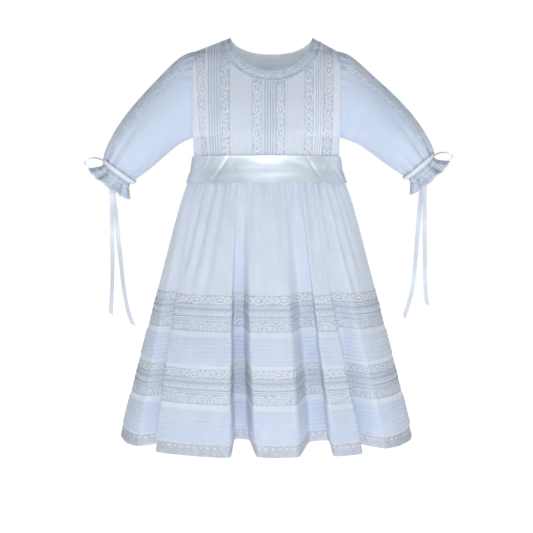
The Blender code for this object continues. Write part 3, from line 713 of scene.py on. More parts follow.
class Shapes:
    """Raised shapes of thread on flat lace: x along it, y up it and z out, in millimetres."""

    def __init__(self):
        self.points, self.faces = [], []

    def add(self, points, faces):
        start = len(self.points)
        self.points += [tuple(point) for point in points]
        self.faces += [tuple(start + k for k in face) for face in faces]

    def dome(self, middle, radii, turn=0.0, height=0.45, sides=8, taper=0.0):
        """A petal, leaf or dot: a low dome over an ellipse, which taper narrows at its outer end."""
        angles = np.linspace(0.0, 2 * math.pi, sides, endpoint=False)
        x = radii[0] * np.cos(angles)
        y = radii[1] * np.sin(angles) * (1.0 - taper * np.cos(angles))
        rim = np.stack(
            [
                middle[0] + x * math.cos(turn) - y * math.sin(turn),
                middle[1] + x * math.sin(turn) + y * math.cos(turn),
                0 * x,
            ],
            axis=1,
        )
        faces = [(k, (k + 1) % sides, sides) for k in range(sides)]
        faces.append(tuple(reversed(range(sides))))
        self.add(np.concatenate([rim, [(*middle, height)]]), faces)

    def tape(self, path, width, height=0.4, closed=False):
        """A ridge of thread along a path."""
        path = np.asarray(path, float)
        count = len(path)
        if closed:
            along = np.roll(path, -1, axis=0) - np.roll(path, 1, axis=0)
        else:
            along = np.gradient(path, axis=0)
        side = np.stack([-along[:, 1], along[:, 0]], axis=1)
        side *= width / 2 / np.linalg.norm(side, axis=1, keepdims=True)
        right, left = path - side, path + side
        points = []
        for k in range(count):
            points += [(*right[k], 0.0), (*path[k], height), (*left[k], 0.0)]
        faces = []
        for k in range(count if closed else count - 1):
            here, after = 3 * k, 3 * ((k + 1) % count)
            for low, high in ((0, 1), (1, 2), (2, 0)):
                faces.append((here + low, after + low, after + high, here + high))
        if not closed:
            last = 3 * (count - 1)
            faces += [(0, 1, 2), (last + 2, last + 1, last)]
        self.add(points, faces)

    def hidden_object(self, name):
        """The shapes as an object for the node tree to repeat."""
        mesh = bpy.data.meshes.new(name)
        mesh.from_pydata(self.points, [], self.faces)
        mesh.shade_smooth()
        made = bpy.data.objects.new(name, mesh)
        bpy.context.scene.collection.objects.link(made)
        return made


def ellipse(middle, radii, count):
    """Points round an ellipse on flat lace."""
    angles = np.linspace(0.0, 2 * math.pi, count, endpoint=False)
    return np.stack([middle[0] + radii[0] * np.cos(angles), middle[1] + radii[1] * np.sin(angles)], axis=1)


def add_flower(shapes, middle, size):
    """Five petals round a raised eye."""
    for k in range(5):
        turn = math.radians(90.0 + 72.0 * k)
        petal = (middle[0] + 1.45 * size * math.cos(turn), middle[1] + 1.45 * size * math.sin(turn))
        shapes.dome(petal, (1.15 * size, 0.75 * size), turn, taper=-0.3)
    shapes.dome(middle, (0.5 * size, 0.5 * size), height=0.7, sides=6)


def medallions():
    """An oval medallion, and a flower between leaf sprays and scrolls; it repeats every 34 mm."""
    shapes = Shapes()
    shapes.tape(ellipse((0.0, 0.0), (7.4, 4.4), 22), 1.9, 0.55, closed=True)
    shapes.dome((0.0, 0.0), (3.3, 1.5), height=0.7)
    for side in (-1, 1):
        shapes.dome((side * 4.6, 0.0), (0.7, 0.9), sides=6)
    add_flower(shapes, (17.0, 0.0), 1.8)
    for side in (-1, 1):
        middle = 17.0 + side * 6.3
        for lean, rise in ((38.0, 3.1), (-38.0, -3.1)):
            turn = math.radians(lean * side + (0.0 if side > 0 else 180.0))
            shapes.dome((middle - side * 0.9, rise), (2.5, 1.1), turn, taper=0.4)
        sweep = np.linspace(-1.0, 1.0, 9)
        scroll = np.stack([middle + side * (1.6 - 1.8 * sweep**2), 4.9 * sweep], axis=1)
        shapes.tape(scroll, 1.4, 0.5)
    return shapes


def arches():
    """A scalloped arch over a flower, with leaves at its feet; it repeats every 28 mm."""
    shapes = Shapes()
    sweep = np.radians(np.linspace(0.0, 180.0, 13))
    for width, height, tape in ((12.0, 9.6, 1.8), (8.4, 6.2, 1.2)):
        arch = np.stack([width * np.cos(sweep), -5.6 + height * np.sin(sweep)], axis=1)
        shapes.tape(arch, tape)
    add_flower(shapes, (0.0, -2.9), 1.25)
    for side in (-1, 1):
        shapes.dome((side * 5.4, -3.7), (2.2, 1.0), math.radians(90.0 - side * 35.0), taper=0.4)
        turn = math.radians(90.0 + side * 50.0)
        shapes.dome((side * 14.0 - side * 2.2, 3.9), (2.1, 1.1), turn, taper=0.4)
    shapes.dome((14.0, 0.2), (1.3, 1.5), sides=6)
    return shapes


def leaf_sprigs():
    """A bent stem with three leaves and a bud; it repeats every 7 to 9 mm."""
    shapes = Shapes()
    sweep = np.linspace(-1.0, 1.0, 6)
    shapes.tape(np.stack([2.6 * sweep, 1.3 * np.sin(1.9 * sweep)], axis=1), 0.9)
    shapes.dome((-1.6, 1.5), (1.9, 0.95), math.radians(118.0), taper=0.4, sides=6)
    shapes.dome((1.6, -1.5), (1.9, 0.95), math.radians(-62.0), taper=0.4, sides=6)
    shapes.dome((3.3, 2.0), (1.5, 0.9), math.radians(40.0), taper=0.4, sides=6)
    shapes.dome((-3.1, -2.1), (0.95, 0.95), sides=6)
    return shapes


def picots():
    """One loop of a picot edge."""
    shapes = Shapes()
    sweep = np.radians(np.linspace(15.0, 165.0, 7))
    shapes.tape(np.stack([2.7 * np.cos(sweep), 1.2 - 2.0 * np.sin(sweep)], axis=1), 0.7, 0.5)
    shapes.dome((0.0, 1.1), (0.6, 0.6), sides=5)
    return shapes


def one_dome(radii, height, sides):
    shapes = Shapes()
    shapes.dome((0.0, 0.0), radii, height=height, sides=sides)
    return shapes


STITCH_PITCH = 2.8
NECK_SCALLOP = 6.5
# Each motif: its shapes, how far it repeats, and its finish
MOTIFS = {
    "medallions": (medallions(), 34.0, "lace motifs"),
    "arches": (arches(), 28.0, "lace motifs"),
    "leaf sprigs": (leaf_sprigs(), 8.6, "lace motifs"),
    "picots": (picots(), NECK_SCALLOP, "lace motifs"),
    "net dots": (one_dome((1.9, 1.5), 0.7, 7), 9.2, "lace motifs"),
    # The bars take the darker sleeve batiste, with its painted shade.
    "ribbon bars": (one_dome((1.9, 3.7), 1.2, 10), 6.4, "sleeve batiste"),
    "stitches": (one_dome((0.85, 0.32), 0.25, 5), STITCH_PITCH, "thread"),
}
MOTIF_SEAT = 0.08
MOTIF_UNEVENNESS = 0.05
ROW_SEED = 3
STRIP_SEED = 5
ROW_INPUTS = (
    ("Geometry", "NodeSocketGeometry"),
    ("Motif", "NodeSocketObject"),
    ("Count", "NodeSocketInt"),
    ("Spacing", "NodeSocketFloat"),
    ("Unevenness", "NodeSocketFloat"),
    ("Seed", "NodeSocketInt"),
    ("Finish", "NodeSocketMaterial"),
)


def repeat_tree():
    """A node tree that sets copies of a motif in a straight row, each a little larger or smaller."""
    tree = bpy.data.node_groups.new("row of motifs", "GeometryNodeTree")
    for name, kind in ROW_INPUTS:
        tree.interface.new_socket(name=name, in_out="INPUT", socket_type=kind)
    tree.interface.new_socket(name="Geometry", in_out="OUTPUT", socket_type="NodeSocketGeometry")
    add, link = tree.nodes.new, tree.links.new
    given, result = add("NodeGroupInput").outputs, add("NodeGroupOutput")
    offset = add("ShaderNodeCombineXYZ")
    link(given["Spacing"], offset.inputs["X"])
    line = add("GeometryNodeMeshLine")
    line.mode = "OFFSET"
    link(given["Count"], line.inputs["Count"])
    link(offset.outputs[0], line.inputs["Offset"])
    motif = add("GeometryNodeObjectInfo")
    motif.inputs["As Instance"].default_value = True
    link(given["Motif"], motif.inputs["Object"])
    smallest, largest = add("ShaderNodeMath"), add("ShaderNodeMath")
    smallest.operation, largest.operation = "SUBTRACT", "ADD"
    for node in (smallest, largest):
        node.inputs[0].default_value = 1.0
        link(given["Unevenness"], node.inputs[1])
    size = add("FunctionNodeRandomValue")
    size.data_type = "FLOAT"
    link(smallest.outputs[0], size.inputs[2])
    link(largest.outputs[0], size.inputs[3])
    link(given["Seed"], size.inputs["Seed"])
    placed = add("GeometryNodeInstanceOnPoints")
    link(line.outputs[0], placed.inputs["Points"])
    link(motif.outputs["Geometry"], placed.inputs["Instance"])
    link(size.outputs[1], placed.inputs["Scale"])
    realized = add("GeometryNodeRealizeInstances")
    link(placed.outputs[0], realized.inputs[0])
    finish = add("GeometryNodeSetMaterial")
    link(realized.outputs[0], finish.inputs["Geometry"])
    link(given["Finish"], finish.inputs["Material"])
    link(finish.outputs[0], result.inputs[0])
    return tree


ROW_TREE = repeat_tree()
HIDDEN = {name: shapes.hidden_object(name) for name, (shapes, _, _) in MOTIFS.items()}


def straight_row(name, count, spacing, seed):
    """A row of a motif made by the node tree, as a mesh in millimetres."""
    carrier = bpy.data.objects.new("row", bpy.data.meshes.new("row"))
    bpy.context.scene.collection.objects.link(carrier)
    modifier = carrier.modifiers.new("row", "NODES")
    modifier.node_group = ROW_TREE
    values = {
        "Motif": HIDDEN[name],
        "Count": count,
        "Spacing": spacing,
        "Unevenness": MOTIF_UNEVENNESS,
        "Seed": seed,
        "Finish": FINISHES[MOTIFS[name][2]],
    }
    for socket in ROW_TREE.interface.items_tree:
        if socket.in_out == "INPUT" and socket.name in values:
            modifier[socket.identifier] = values[socket.name]
    evaluated = carrier.evaluated_get(bpy.context.evaluated_depsgraph_get())
    mesh = bpy.data.meshes.new_from_object(evaluated)
    carrier.modifiers.remove(modifier)
    bpy.data.objects.remove(carrier)
    return mesh


def place_row(mesh, placed):
    """Moves a flat row's points to where a function puts them on the cloth."""
    flat = np.empty(len(mesh.vertices) * 3, np.float32)
    mesh.vertices.foreach_get("co", flat)
    moved = placed(flat.reshape(-1, 3).astype(float)) * MM
    mesh.vertices.foreach_set("co", moved.astype(np.float32).ravel())
    return mesh


def row_of_motifs(cloth, name, down, spacing=None):
    """A row along the cloth at a distance down it; round a closed cloth it meets itself."""
    count = max(1, round(cloth.along[-1] / (spacing or MOTIFS[name][1])))
    spacing = cloth.along[-1] / count

    def placed(flat):
        along = spacing / 2 + flat[:, 0]
        if cloth.closed:
            along = along % cloth.along[-1]
        return cloth.at(along, down - flat[:, 1], flat[:, 2] - MOTIF_SEAT)

    return place_row(straight_row(name, count, spacing, ROW_SEED), placed)


def strip_of_motifs(cloth, name, first, last, begin=0.0, stop=1.0, wide=12.5):
    """A row that runs down the cloth between two columns, from one share of its length to another.

    The motif is drawn for a strip as wide as wide, and is stretched to the strip's own width.
    """
    along = (cloth.along[first] + cloth.along[last]) / 2
    column = cloth.points[:, (first + last) // 2]
    length = np.linalg.norm(np.diff(column, axis=0), axis=1).sum() * (stop - begin)
    stretch = (cloth.along[last] - cloth.along[first]) / wide
    spacing = MOTIFS[name][1]
    count = max(1, round(length / spacing / min(stretch, 1.0)))
    scale = cloth.down[-1] * (stop - begin) / (count * spacing)

    def placed(flat):
        down = cloth.down[-1] * begin + (spacing / 2 + flat[:, 0]) * scale
        return cloth.at(along + flat[:, 1] * stretch, down, flat[:, 2] - MOTIF_SEAT)

    return place_row(straight_row(name, count, spacing, STRIP_SEED), placed)


RELIEF_SHARP = 75.0


def add_relief(name, rows, slot):
    """Joins rows of motifs into one piece."""
    whole = bmesh.new()
    finish = rows[0].materials[0]
    for row in rows:
        whole.from_mesh(row)
        bpy.data.meshes.remove(row)
    mesh = bpy.data.meshes.new(name)
    whole.to_mesh(mesh)
    whole.free()
    mesh.materials.append(finish)
    mesh.shade_smooth()
    mesh.set_sharp_from_angle(angle=math.radians(RELIEF_SHARP))
    piece = bpy.data.objects.new(name, mesh)
    bpy.context.scene.collection.objects.link(piece)
    hand_in(piece, slot)


def add_camera():
    data = bpy.data.cameras.new("camera")
    data.sensor_width = SENSOR
    data.lens = FOCAL_PIXELS / FRAME_PIXELS * SENSOR
    data.clip_end = CAMERA_REACH
    camera = bpy.data.objects.new("camera", data)
    camera.location = (0.0, -CAMERA_DISTANCE * MM, CAMERA_HEIGHT * MM)
    camera.rotation_euler = (math.pi / 2 - CAMERA_PITCH, 0.0, 0.0)
    bpy.context.scene.collection.objects.link(camera)
    bpy.context.scene.camera = camera


def curve_between(a, b, c, d, t):
    """A place from b to c on the smooth curve through four points."""
    bend = (2 * a - 5 * b + 4 * c - d) * t**2 + (3 * b - a - 3 * c + d) * t**3
    return 0.5 * (2 * b + (c - a) * t + bend)


CURVE_STEPS = 12


def smooth_path(points, count):
    """A smooth curve through points, with stations at even distances, and its length."""
    points = np.asarray(points, float)
    padded = np.vstack([2 * points[0] - points[1], points, 2 * points[-1] - points[-2]])
    fine = []
    for a, b, c, d in zip(padded, padded[1:], padded[2:], padded[3:]):
        for t in np.linspace(0.0, 1.0, CURVE_STEPS, endpoint=False):
            fine.append(curve_between(a, b, c, d, t))
    fine = np.array(fine + [points[-1]])
    travelled = np.concatenate([[0.0], np.cumsum(np.linalg.norm(np.diff(fine, axis=0), axis=1))])
    even = np.linspace(0.0, travelled[-1], count)
    return np.stack([np.interp(even, travelled, fine[:, k]) for k in range(3)], axis=1), travelled[-1]


RIBBON_CROWN = 0.3
RIBBON_COLUMNS = 7


def ribbon_cloth(path, across, width):
    """A ribbon's grid along a path, a little rounded: across is its width's direction."""
    along = np.gradient(path, axis=0)
    tilt = (across * along).sum(1, keepdims=True) / (along * along).sum(1, keepdims=True)
    across = across - along * tilt
    across /= np.linalg.norm(across, axis=1, keepdims=True)
    face = np.cross(along, across)
    face /= np.linalg.norm(face, axis=1, keepdims=True)
    columns = []
    for place in np.linspace(-0.5, 0.5, RIBBON_COLUMNS):
        crown = face * RIBBON_CROWN * (0.25 - place**2)
        columns.append(path + across * width[:, None] * place + crown)
    return Cloth(np.stack(columns, axis=1))


TAIL_ROWS = 90
TAIL_TWIST = 0.25
TAIL_SLANT = 3.0


def make_tails():
    """The free ribbon ends, cut on the slant."""
    for name, points in TAILS.items():
        path, length = smooth_path(points, TAIL_ROWS)
        travelled = np.linspace(0.0, length, len(path))
        turn = TAIL_TWIST * np.sin(travelled / 34.0 + len(name)) * smooth_step((travelled - 30.0) / 40.0)
        across = np.stack([np.cos(turn), np.sin(turn), 0 * turn], axis=1)
        cloth = ribbon_cloth(path, across, np.full(len(path), RIBBON_WIDTH))
        slant = np.linspace(-1.0, 1.0, cloth.points.shape[1]) * TAIL_SLANT
        step = cloth.points[-1] - cloth.points[-2]
        step /= np.linalg.norm(step, axis=1, keepdims=True)
        cloth.points[-1] += step * slant[:, None]
        cloth.points[-2] += step * slant[:, None] * 0.45
        piece = shell(f"ribbon_tail_{name}", "satin", cloth, ["ribbon"], RIBBON)


def ring(angles, z, outward=0.0):
    """Points round the body or skirt, without folds; angle 0 is the front."""
    wide, deep = at_height(LEVELS, z, 1) + outward, at_height(LEVELS, z, 2) + outward
    sine, cosine = np.sin(angles), np.cos(angles)
    x = wide * np.sign(sine) * np.abs(sine) ** (2.0 / SQUARENESS)
    y = -deep * np.sign(cosine) * np.abs(cosine) ** (2.0 / SQUARENESS)
    return np.stack([x, y, z + 0 * x], axis=-1)


def turned_away(angles, middle):
    """How far an angle is from another, either way round."""
    return (angles - middle + math.pi) % (2 * math.pi) - math.pi


def inward_from(base, z):
    """Level directions into the skirt: straight back at its front, and to its middle at its sides."""
    wide = np.abs(base[..., 0]) / at_height(LEVELS, z, 1)
    sideways = smooth_step((wide - STRAIGHT_WIDTH) / TURNED_WIDTH)
    inward = -base * np.stack([sideways, np.ones_like(sideways), 0.0 * sideways], axis=-1)
    return inward / np.linalg.norm(inward, axis=-1, keepdims=True)


def hollow_middle(waist, hem, z):
    """The angle of a hollow's middle at a height."""
    return waist + (hem - waist) * np.interp(-z, [-WAIST_Z, -NET_HEM_Z], [0.0, 1.0])


def hollow_bends(z):
    """The angles where each hollow's sides bend, and its middle, all round and back to the first."""
    found = []
    for waist, hem, before, after, _ in HOLLOWS:
        middle = hollow_middle(waist, hem, z)
        found += [middle - before * bend for bend in reversed(HOLLOW_BENDS)]
        found += [middle] + [middle + after * bend for bend in HOLLOW_BENDS]
    return np.radians(found + [found[0] + 360.0])


def hollow_depth(angles, z):
    """How far the cloth lies inside the ring in the hollows between the folds."""
    depth = np.zeros(np.broadcast(angles, z).shape)
    for waist, hem, before, after, part in HOLLOWS:
        turned = turned_away(angles, np.radians(hollow_middle(waist, hem, z)))
        away = np.abs(turned) / np.radians(np.where(turned < 0.0, before, after))
        narrow = 1.0 - smooth_step((away - HOLLOW_BENDS[0]) / (HOLLOW_BENDS[1] - HOLLOW_BENDS[0]))
        wide = 1.0 - smooth_step(away / WIDE_HOLLOW)
        depth = np.maximum(depth, part * ((1.0 - WIDE_SHARE) * narrow + WIDE_SHARE * wide))
    return depth * at_height(HOLLOW_DEPTH, z, 1)


# Soft folds that run down from the sash: the front ones stand where the photograph has them
SKIRT_FOLDS = np.array(
    [
        # angle at the waist, angle at its end, length, half angle, depth
        (-62.0, -60.0, 130.0, 3.6, 4.4),
        (-47.0, -48.0, 170.0, 2.8, 3.6),
        (-36.0, -40.0, 190.0, 2.6, 4.4),
        (-26.0, -31.0, 230.0, 2.4, 4.6),
        (-9.0, -7.0, 190.0, 2.2, 3.6),
        (-1.0, 1.5, 240.0, 2.0, 3.8),
        (7.0, 7.5, 170.0, 2.4, 4.0),
        (13.0, 11.0, 110.0, 1.8, 3.2),
        (25.5, 24.0, 150.0, 1.8, 3.4),
        (37.0, 42.0, 180.0, 2.4, 4.6),
        (44.5, 52.0, 220.0, 2.2, 4.0),
        (54.0, 60.0, 160.0, 2.6, 3.6),
        (63.0, 64.0, 110.0, 3.0, 2.6),
        (79.0, 78.0, 160.0, 4.0, 3.4),
        (92.0, 91.0, 120.0, 3.4, 3.0),
        (117.0, 118.0, 190.0, 3.2, 3.2),
        (139.0, 141.0, 110.0, 2.8, 2.8),
        (147.0, 146.0, 160.0, 2.6, 2.4),
        (164.0, 166.0, 210.0, 3.0, 3.2),
        (187.0, 188.0, 130.0, 2.8, 3.0),
        (194.0, 193.0, 180.0, 2.4, 2.4),
        (214.0, 216.0, 150.0, 3.2, 3.2),
        (221.0, 222.0, 90.0, 2.4, 2.2),
        (241.0, 240.0, 200.0, 3.0, 3.0),
        (267.0, 268.0, 140.0, 3.6, 3.2),
        (281.0, 280.0, 110.0, 3.0, 2.6),
    ]
)
FOLD_SEED = 11
FOLD_STRENGTH = 1.3


def small_gathers(seed, count, turn, *ranges):
    """Uneven gathers all round: angles at their two ends, then a value from each range."""
    chance = np.random.default_rng(seed)
    start = (np.arange(count) + chance.uniform(-0.3, 0.3, count)) * 360.0 / count
    columns = [start, start + chance.uniform(-turn, turn, count)]
    columns += [chance.uniform(low, high, count) for low, high in ranges]
    return np.stack(columns, axis=1)


# Small gathers between the folds, with the range of their lengths, half angles and depths
SKIRT_GATHERS = small_gathers(FOLD_SEED, 96, 1.0, (18.0, 95.0), (0.8, 1.4), (1.0, 3.0))


def fold_depth(angles, z):
    """How deep the soft folds and the gathers under the sash are."""
    depth = np.zeros(np.broadcast(angles, z).shape)
    for waist, end, length, half, deep in np.concatenate([SKIRT_FOLDS, SKIRT_GATHERS]):
        share = (WAIST_Z - z) / length
        middle = np.radians(waist + (end - waist) * np.clip(share, 0.0, 1.0))
        across = np.exp(-((turned_away(angles, middle) / math.radians(half)) ** 2))
        strength = 0.4 + 0.6 * smooth_step(share / 0.25)
        strength = strength * (1.0 - smooth_step((share - 0.4) / 0.6))
        depth += FOLD_STRENGTH * deep * across * strength
    return depth


SKIRT_COLUMNS = 800
HEM_SAMPLES = 7201


def skirt_columns():
    """Angles that are even along the hem's own cloth, and partly even in angle."""
    fine = hollow_bends(NET_HEM_Z)[0] + np.linspace(0.0, 2 * math.pi, HEM_SAMPLES)
    z = np.full_like(fine, NET_HEM_Z)
    hem = ring(fine, z)
    hem = hem + inward_from(hem, z) * hollow_depth(fine, z)[:, None]
    step = np.linalg.norm(np.diff(hem, axis=0), axis=1)
    step = step / step.sum() + 1.0 / len(step)
    travelled = np.concatenate([[0.0], np.cumsum(step)])
    even = np.linspace(0.0, travelled[-1], SKIRT_COLUMNS, endpoint=False)
    return np.interp(even, travelled, fine)


SKIRT_ANGLES = skirt_columns()


def skirt_cloth(heights, outward=0.0, flutter=0.0):
    """The skirt's cloth at each height of a list, with its folds.

    outward moves each row off the cloth, and flutter waves a loose edge.
    """
    heights = np.asarray(heights, float)
    z = heights[:, None] + 0 * SKIRT_ANGLES[None, :]
    bends = hollow_bends(NET_HEM_Z)
    angles = np.stack([np.interp(SKIRT_ANGLES, bends, hollow_bends(height)) for height in heights])
    base = ring(angles, z)
    inward = inward_from(base, z)
    hollow = hollow_depth(angles, z)
    wave = flutter * np.sin(23.0 * angles + 1.3 * np.sin(7.0 * angles))
    wave = wave * smooth_step((WAIST_Z - z) / 300.0)
    points = base + inward * (hollow + fold_depth(angles, z) + wave)[..., None]
    flat = points * (1, 1, 0)
    across = np.roll(flat, -1, axis=1) - np.roll(flat, 1, axis=1)
    out = np.cross((0, 0, -1.0), across)
    out /= np.linalg.norm(out, axis=2, keepdims=True)
    outward = np.broadcast_to(np.reshape(outward, (-1, 1)), z.shape)
    points = points + out * outward[..., None]
    points[..., 2] += HOLLOW_RISE * hollow
    return Cloth(points, closed=True)


LEAST_AREA = 0.31


def declare(cloth):
    """Works out a piece's cut: as wide as its longest row and as long as its drop; the values are not
    kept.
    """
    rows = np.linalg.norm(np.diff(cloth.ring, axis=1), axis=2).sum(axis=1)
    width, length = float(rows.max()) * MM, float(cloth.down[-1]) * MM
    area = float(rows.mean()) * MM * length
    area = min(max(area, LEAST_AREA * width * length), width * length)


def make_skirt_top():
    """The plain gathered cloth, with closer rows under the sash."""
    gathers = np.linspace(WAIST_Z, -225.0, 15)
    heights = np.concatenate([gathers, np.linspace(-229.0, LACE_UPPER_TOP_Z - 0.5, 29)])
    cloth = skirt_cloth(heights)
    inner = [*range(0, len(heights), 2), len(heights) - 1]
    # The skirt's batiste is painted a little darker than the bodice's: painted shade.
    piece = shell("skirt_top", "batiste", cloth, ["skirt batiste"], inner_rows=inner)
    declare(cloth)


# A lace band from its top: kind of strip, its share of the height, and its motif
LACE_STRIPS = (
    ("wide", 12.5, "medallions"),
    ("beading", 4.5, None),
    ("gathered", 11.0, "leaf sprigs"),
    ("beading", 4.5, None),
    ("wide", 14.5, "arches"),
)
# How each kind of strip stands off, down its height
STRIP_PROFILES = {
    "beading": (
        (0.0, 0.1),
        (0.12, 0.6),
        (0.28, 0.6),
        (0.4, 0.15),
        (0.6, 0.15),
        (0.72, 0.6),
        (0.88, 0.6),
        (1.0, 0.1),
    ),
    "gathered": ((0.0, -0.4), (0.12, 0.3), (0.5, 0.8), (0.88, 0.3), (1.0, -0.4)),
    "wide": ((0.0, 0.0), (0.25, 0.0), (0.5, 0.0), (0.75, 0.0), (1.0, 0.0)),
}


def make_lace_band(name, top, bottom):
    """Two wide laces, a narrow gathered one between them, and beading strips that join them."""
    scale = (top - bottom) / sum(height for _, height, _ in LACE_STRIPS)
    kinds = ["wide", "beading", "gathered"]
    heights, outward, picked, strips = [], [], [], []
    z = top
    for kind, height, motif in LACE_STRIPS:
        first = len(heights)
        for share, out in STRIP_PROFILES[kind]:
            heights.append(z - height * scale * share * 0.995)
            outward.append(out)
            picked.append(kinds.index(kind))
        z -= height * scale
        strips.append((motif, first, len(heights) - 1))
    cloth = skirt_cloth(heights, outward)
    inner = [first for _, first, _ in strips] + [len(heights) - 1]
    finishes = ["lace ground", "entredeux", "gathered lace"]
    piece = shell(name, "lace", cloth, finishes, row_finish=picked[:-1], inner_rows=inner)
    declare(cloth)
    rows = []
    for motif, first, last in strips:
        if motif:
            middle = (cloth.down[first] + cloth.down[last]) / 2
            rows.append(row_of_motifs(cloth, motif, middle))
    add_relief(f"{name}_motifs", rows, "lace")


# One tuck from its stitched line down to its folded edge and back under it
TUCK_PROFILE = (
    # down from the stitched line, stands off
    (0.0, 0.15),
    (1.2, 0.6),
    (3.2, 1.0),
    (4.7, 1.35),
    (5.15, 1.3),
    (5.2, 0.9),
    (4.9, 0.3),
)
# Rows from this one on, under each tuck's folded edge, take a darker batiste: painted shade.
TUCK_SHADE = 3


def make_tuck_band(name, top, bottom, tucks):
    """A plain strip, folded tucks below it, and the plain cloth under the last tuck."""
    heights, outward, picked = [top, top - 3.0, top - 6.0], [0.3, 0.1, 0.1], [0, 0, 0]
    for k in range(tucks):
        stitched = top - PLAIN_ABOVE_TUCKS - TUCK_PITCH * k
        for index, (down, out) in enumerate(TUCK_PROFILE):
            heights.append(stitched - down)
            outward.append(out)
            # The rows under the folded edge are painted darker, as painted shade.
            picked.append(int(index >= TUCK_SHADE))
    below = top - PLAIN_ABOVE_TUCKS - TUCK_PITCH * tucks
    heights += [below - 0.2, min(below - 1.0, (below + bottom) / 2), bottom - 0.3]
    outward += [0.2, 0.2, 0.2]
    picked += [0, 0, 0]
    cloth = skirt_cloth(heights, outward)
    cloth.normals = skirt_cloth(np.linspace(top, bottom - 0.3, len(heights))).normals
    kept = [0] + [3 + len(TUCK_PROFILE) * k for k in range(tucks)] + [len(heights) - 1]
    # The tuck bands' cloth is the skirt's darker batiste, with its painted shade.
    finishes = ["skirt batiste", "tuck line"]
    piece = shell(name, "batiste", cloth, finishes, row_finish=picked[:-1], inner_rows=kept)
    declare(skirt_cloth(np.linspace(top, bottom, 6)))


NET_DOT_DOWN = 6.6
PICOT_REACH = 1.2


def make_net_hem():
    """Net that shows below the last tuck, with a row of dots and a looped edge."""
    cloth = skirt_cloth(np.linspace(BATISTE_HEM_Z + 2.0, NET_HEM_Z, 10), -0.5, flutter=0.5)
    piece = shell("net_hem", "net", cloth, ["net"], LACE_RUFFLE, inner_rows=[0, 5, 9])
    declare(cloth)
    dots = row_of_motifs(cloth, "net dots", NET_DOT_DOWN)
    edge = row_of_motifs(cloth, "picots", cloth.down[-1] - PICOT_REACH)
    add_relief("net_hem_dots", [dots, edge], "net")


def make_sash():
    """A satin band round the waist with the soft creases of a tied sash, its ends lapped behind."""
    heights = np.linspace(SASH_TOP_Z, SASH_BOTTOM_Z, 25)
    angles = np.linspace(0.0, 2 * math.pi, 361)[:-1]
    z = heights[:, None] + 0 * angles
    turned = angles[None, :] + 0 * z
    behind = np.degrees(np.abs(turned_away(turned, math.pi)))
    lap = 1.0 - smooth_step((behind - 8.6) / 0.8)
    edge = 1.0 - smooth_step(np.minimum(SASH_TOP_Z - z, z - SASH_BOTTOM_Z) / 2.2)
    share = (SASH_TOP_Z - z) / (SASH_TOP_Z - SASH_BOTTOM_Z)
    crease = np.zeros_like(z)
    for middle, level, slope, length, deep in SASH_CREASES:
        away = turned_away(turned, math.radians(middle)) / math.radians(length)
        up = share - level - slope * away
        crease += deep * np.exp(-(away**2)) * np.exp(-((up / 0.12) ** 2))
    ripple = 0.35 * np.sin(share * 9.0 + 3.0 * np.sin(turned * 2.0 + 0.6)) * np.sin(turned * 5.0 + 1.0)
    outward = SASH_EASE + RIBBON + 0.4 + lap * 0.9 + 0.35 * edge - crease + ripple
    base = ring(turned, z)
    points = base + (ring(turned, z, 1.0) - base) * outward[..., None]
    cloth = Cloth(points, closed=True)
    piece = shell("sash", "satin", cloth, ["sash satin"], RIBBON)
    declare(cloth)


SASH_CREASES = (
    # angle, share of the height, slope, half angle, depth
    (-46.0, 0.3, -0.5, 7.0, 1.2),
    (-32.0, 0.5, -0.45, 6.0, 1.6),
    (-23.0, 0.28, 0.35, 5.0, 1.3),
    (-10.0, 0.2, 0.1, 14.0, 0.5),
    (6.0, 0.78, -0.05, 18.0, 0.7),
    (20.0, 0.3, 0.1, 8.0, 0.6),
    (35.0, 0.6, 0.45, 6.0, 1.2),
    (47.0, 0.35, -0.4, 6.0, 1.3),
    (60.0, 0.6, 0.3, 7.0, 0.9),
    (84.0, 0.4, 0.1, 10.0, 0.8),
    (118.0, 0.55, -0.2, 9.0, 0.9),
    (150.0, 0.35, 0.2, 8.0, 0.7),
    (203.0, 0.6, 0.2, 9.0, 0.9),
    (236.0, 0.4, -0.2, 9.0, 0.8),
    (272.0, 0.55, 0.1, 10.0, 0.8),
    (302.0, 0.4, -0.2, 8.0, 0.9),
)


def shoulder_span(hand):
    """How far the shoulder seam runs across: the neck sits a little to the right."""
    return SHOULDER_X - hand * NECK_SHIFT - NECK_HALF_WIDTH


def shoulder_line(x):
    """The height of the shoulder seam, falling from each side of the neck to the armhole."""
    right = (x - NECK_SHIFT - NECK_HALF_WIDTH) / shoulder_span(1)
    left = (NECK_SHIFT - x - NECK_HALF_WIDTH) / shoulder_span(-1)
    return np.clip(np.maximum(right, left), 0.0, None) * SHOULDER_Z


def neck_height(x, side):
    """The neckline's height over a place across it, on the front or the back."""
    across = np.clip(np.abs(x - NECK_SHIFT) / NECK_HALF_WIDTH, 0.0, 1.0)
    return -NECK_DROP[side] * (1.0 - across**2.3) ** 0.62


def armhole_x(z):
    """The body's half width at a height: the armhole's edge, then the side seam."""
    share = np.clip((z - UNDERARM_Z) / (SHOULDER_Z - UNDERARM_Z), 0.0, 1.0)
    above = UNDERARM_X + (SHOULDER_X - UNDERARM_X) * share
    return np.where(z >= UNDERARM_Z, above, at_height(LEVELS, z, 1))


def armhole_depth(z):
    """Half the armhole's depth at a height: it is an ellipse seen from the side."""
    middle, half = (SHOULDER_Z + UNDERARM_Z) / 2, (SHOULDER_Z - UNDERARM_Z) / 2
    rise = np.clip((z - middle) / half, -1.0, 1.0)
    return SEAM_GAP / 2 + ARMHOLE_HALF_DEPTH * np.sqrt(1.0 - rise**2)


BODY_ROUNDING = 15


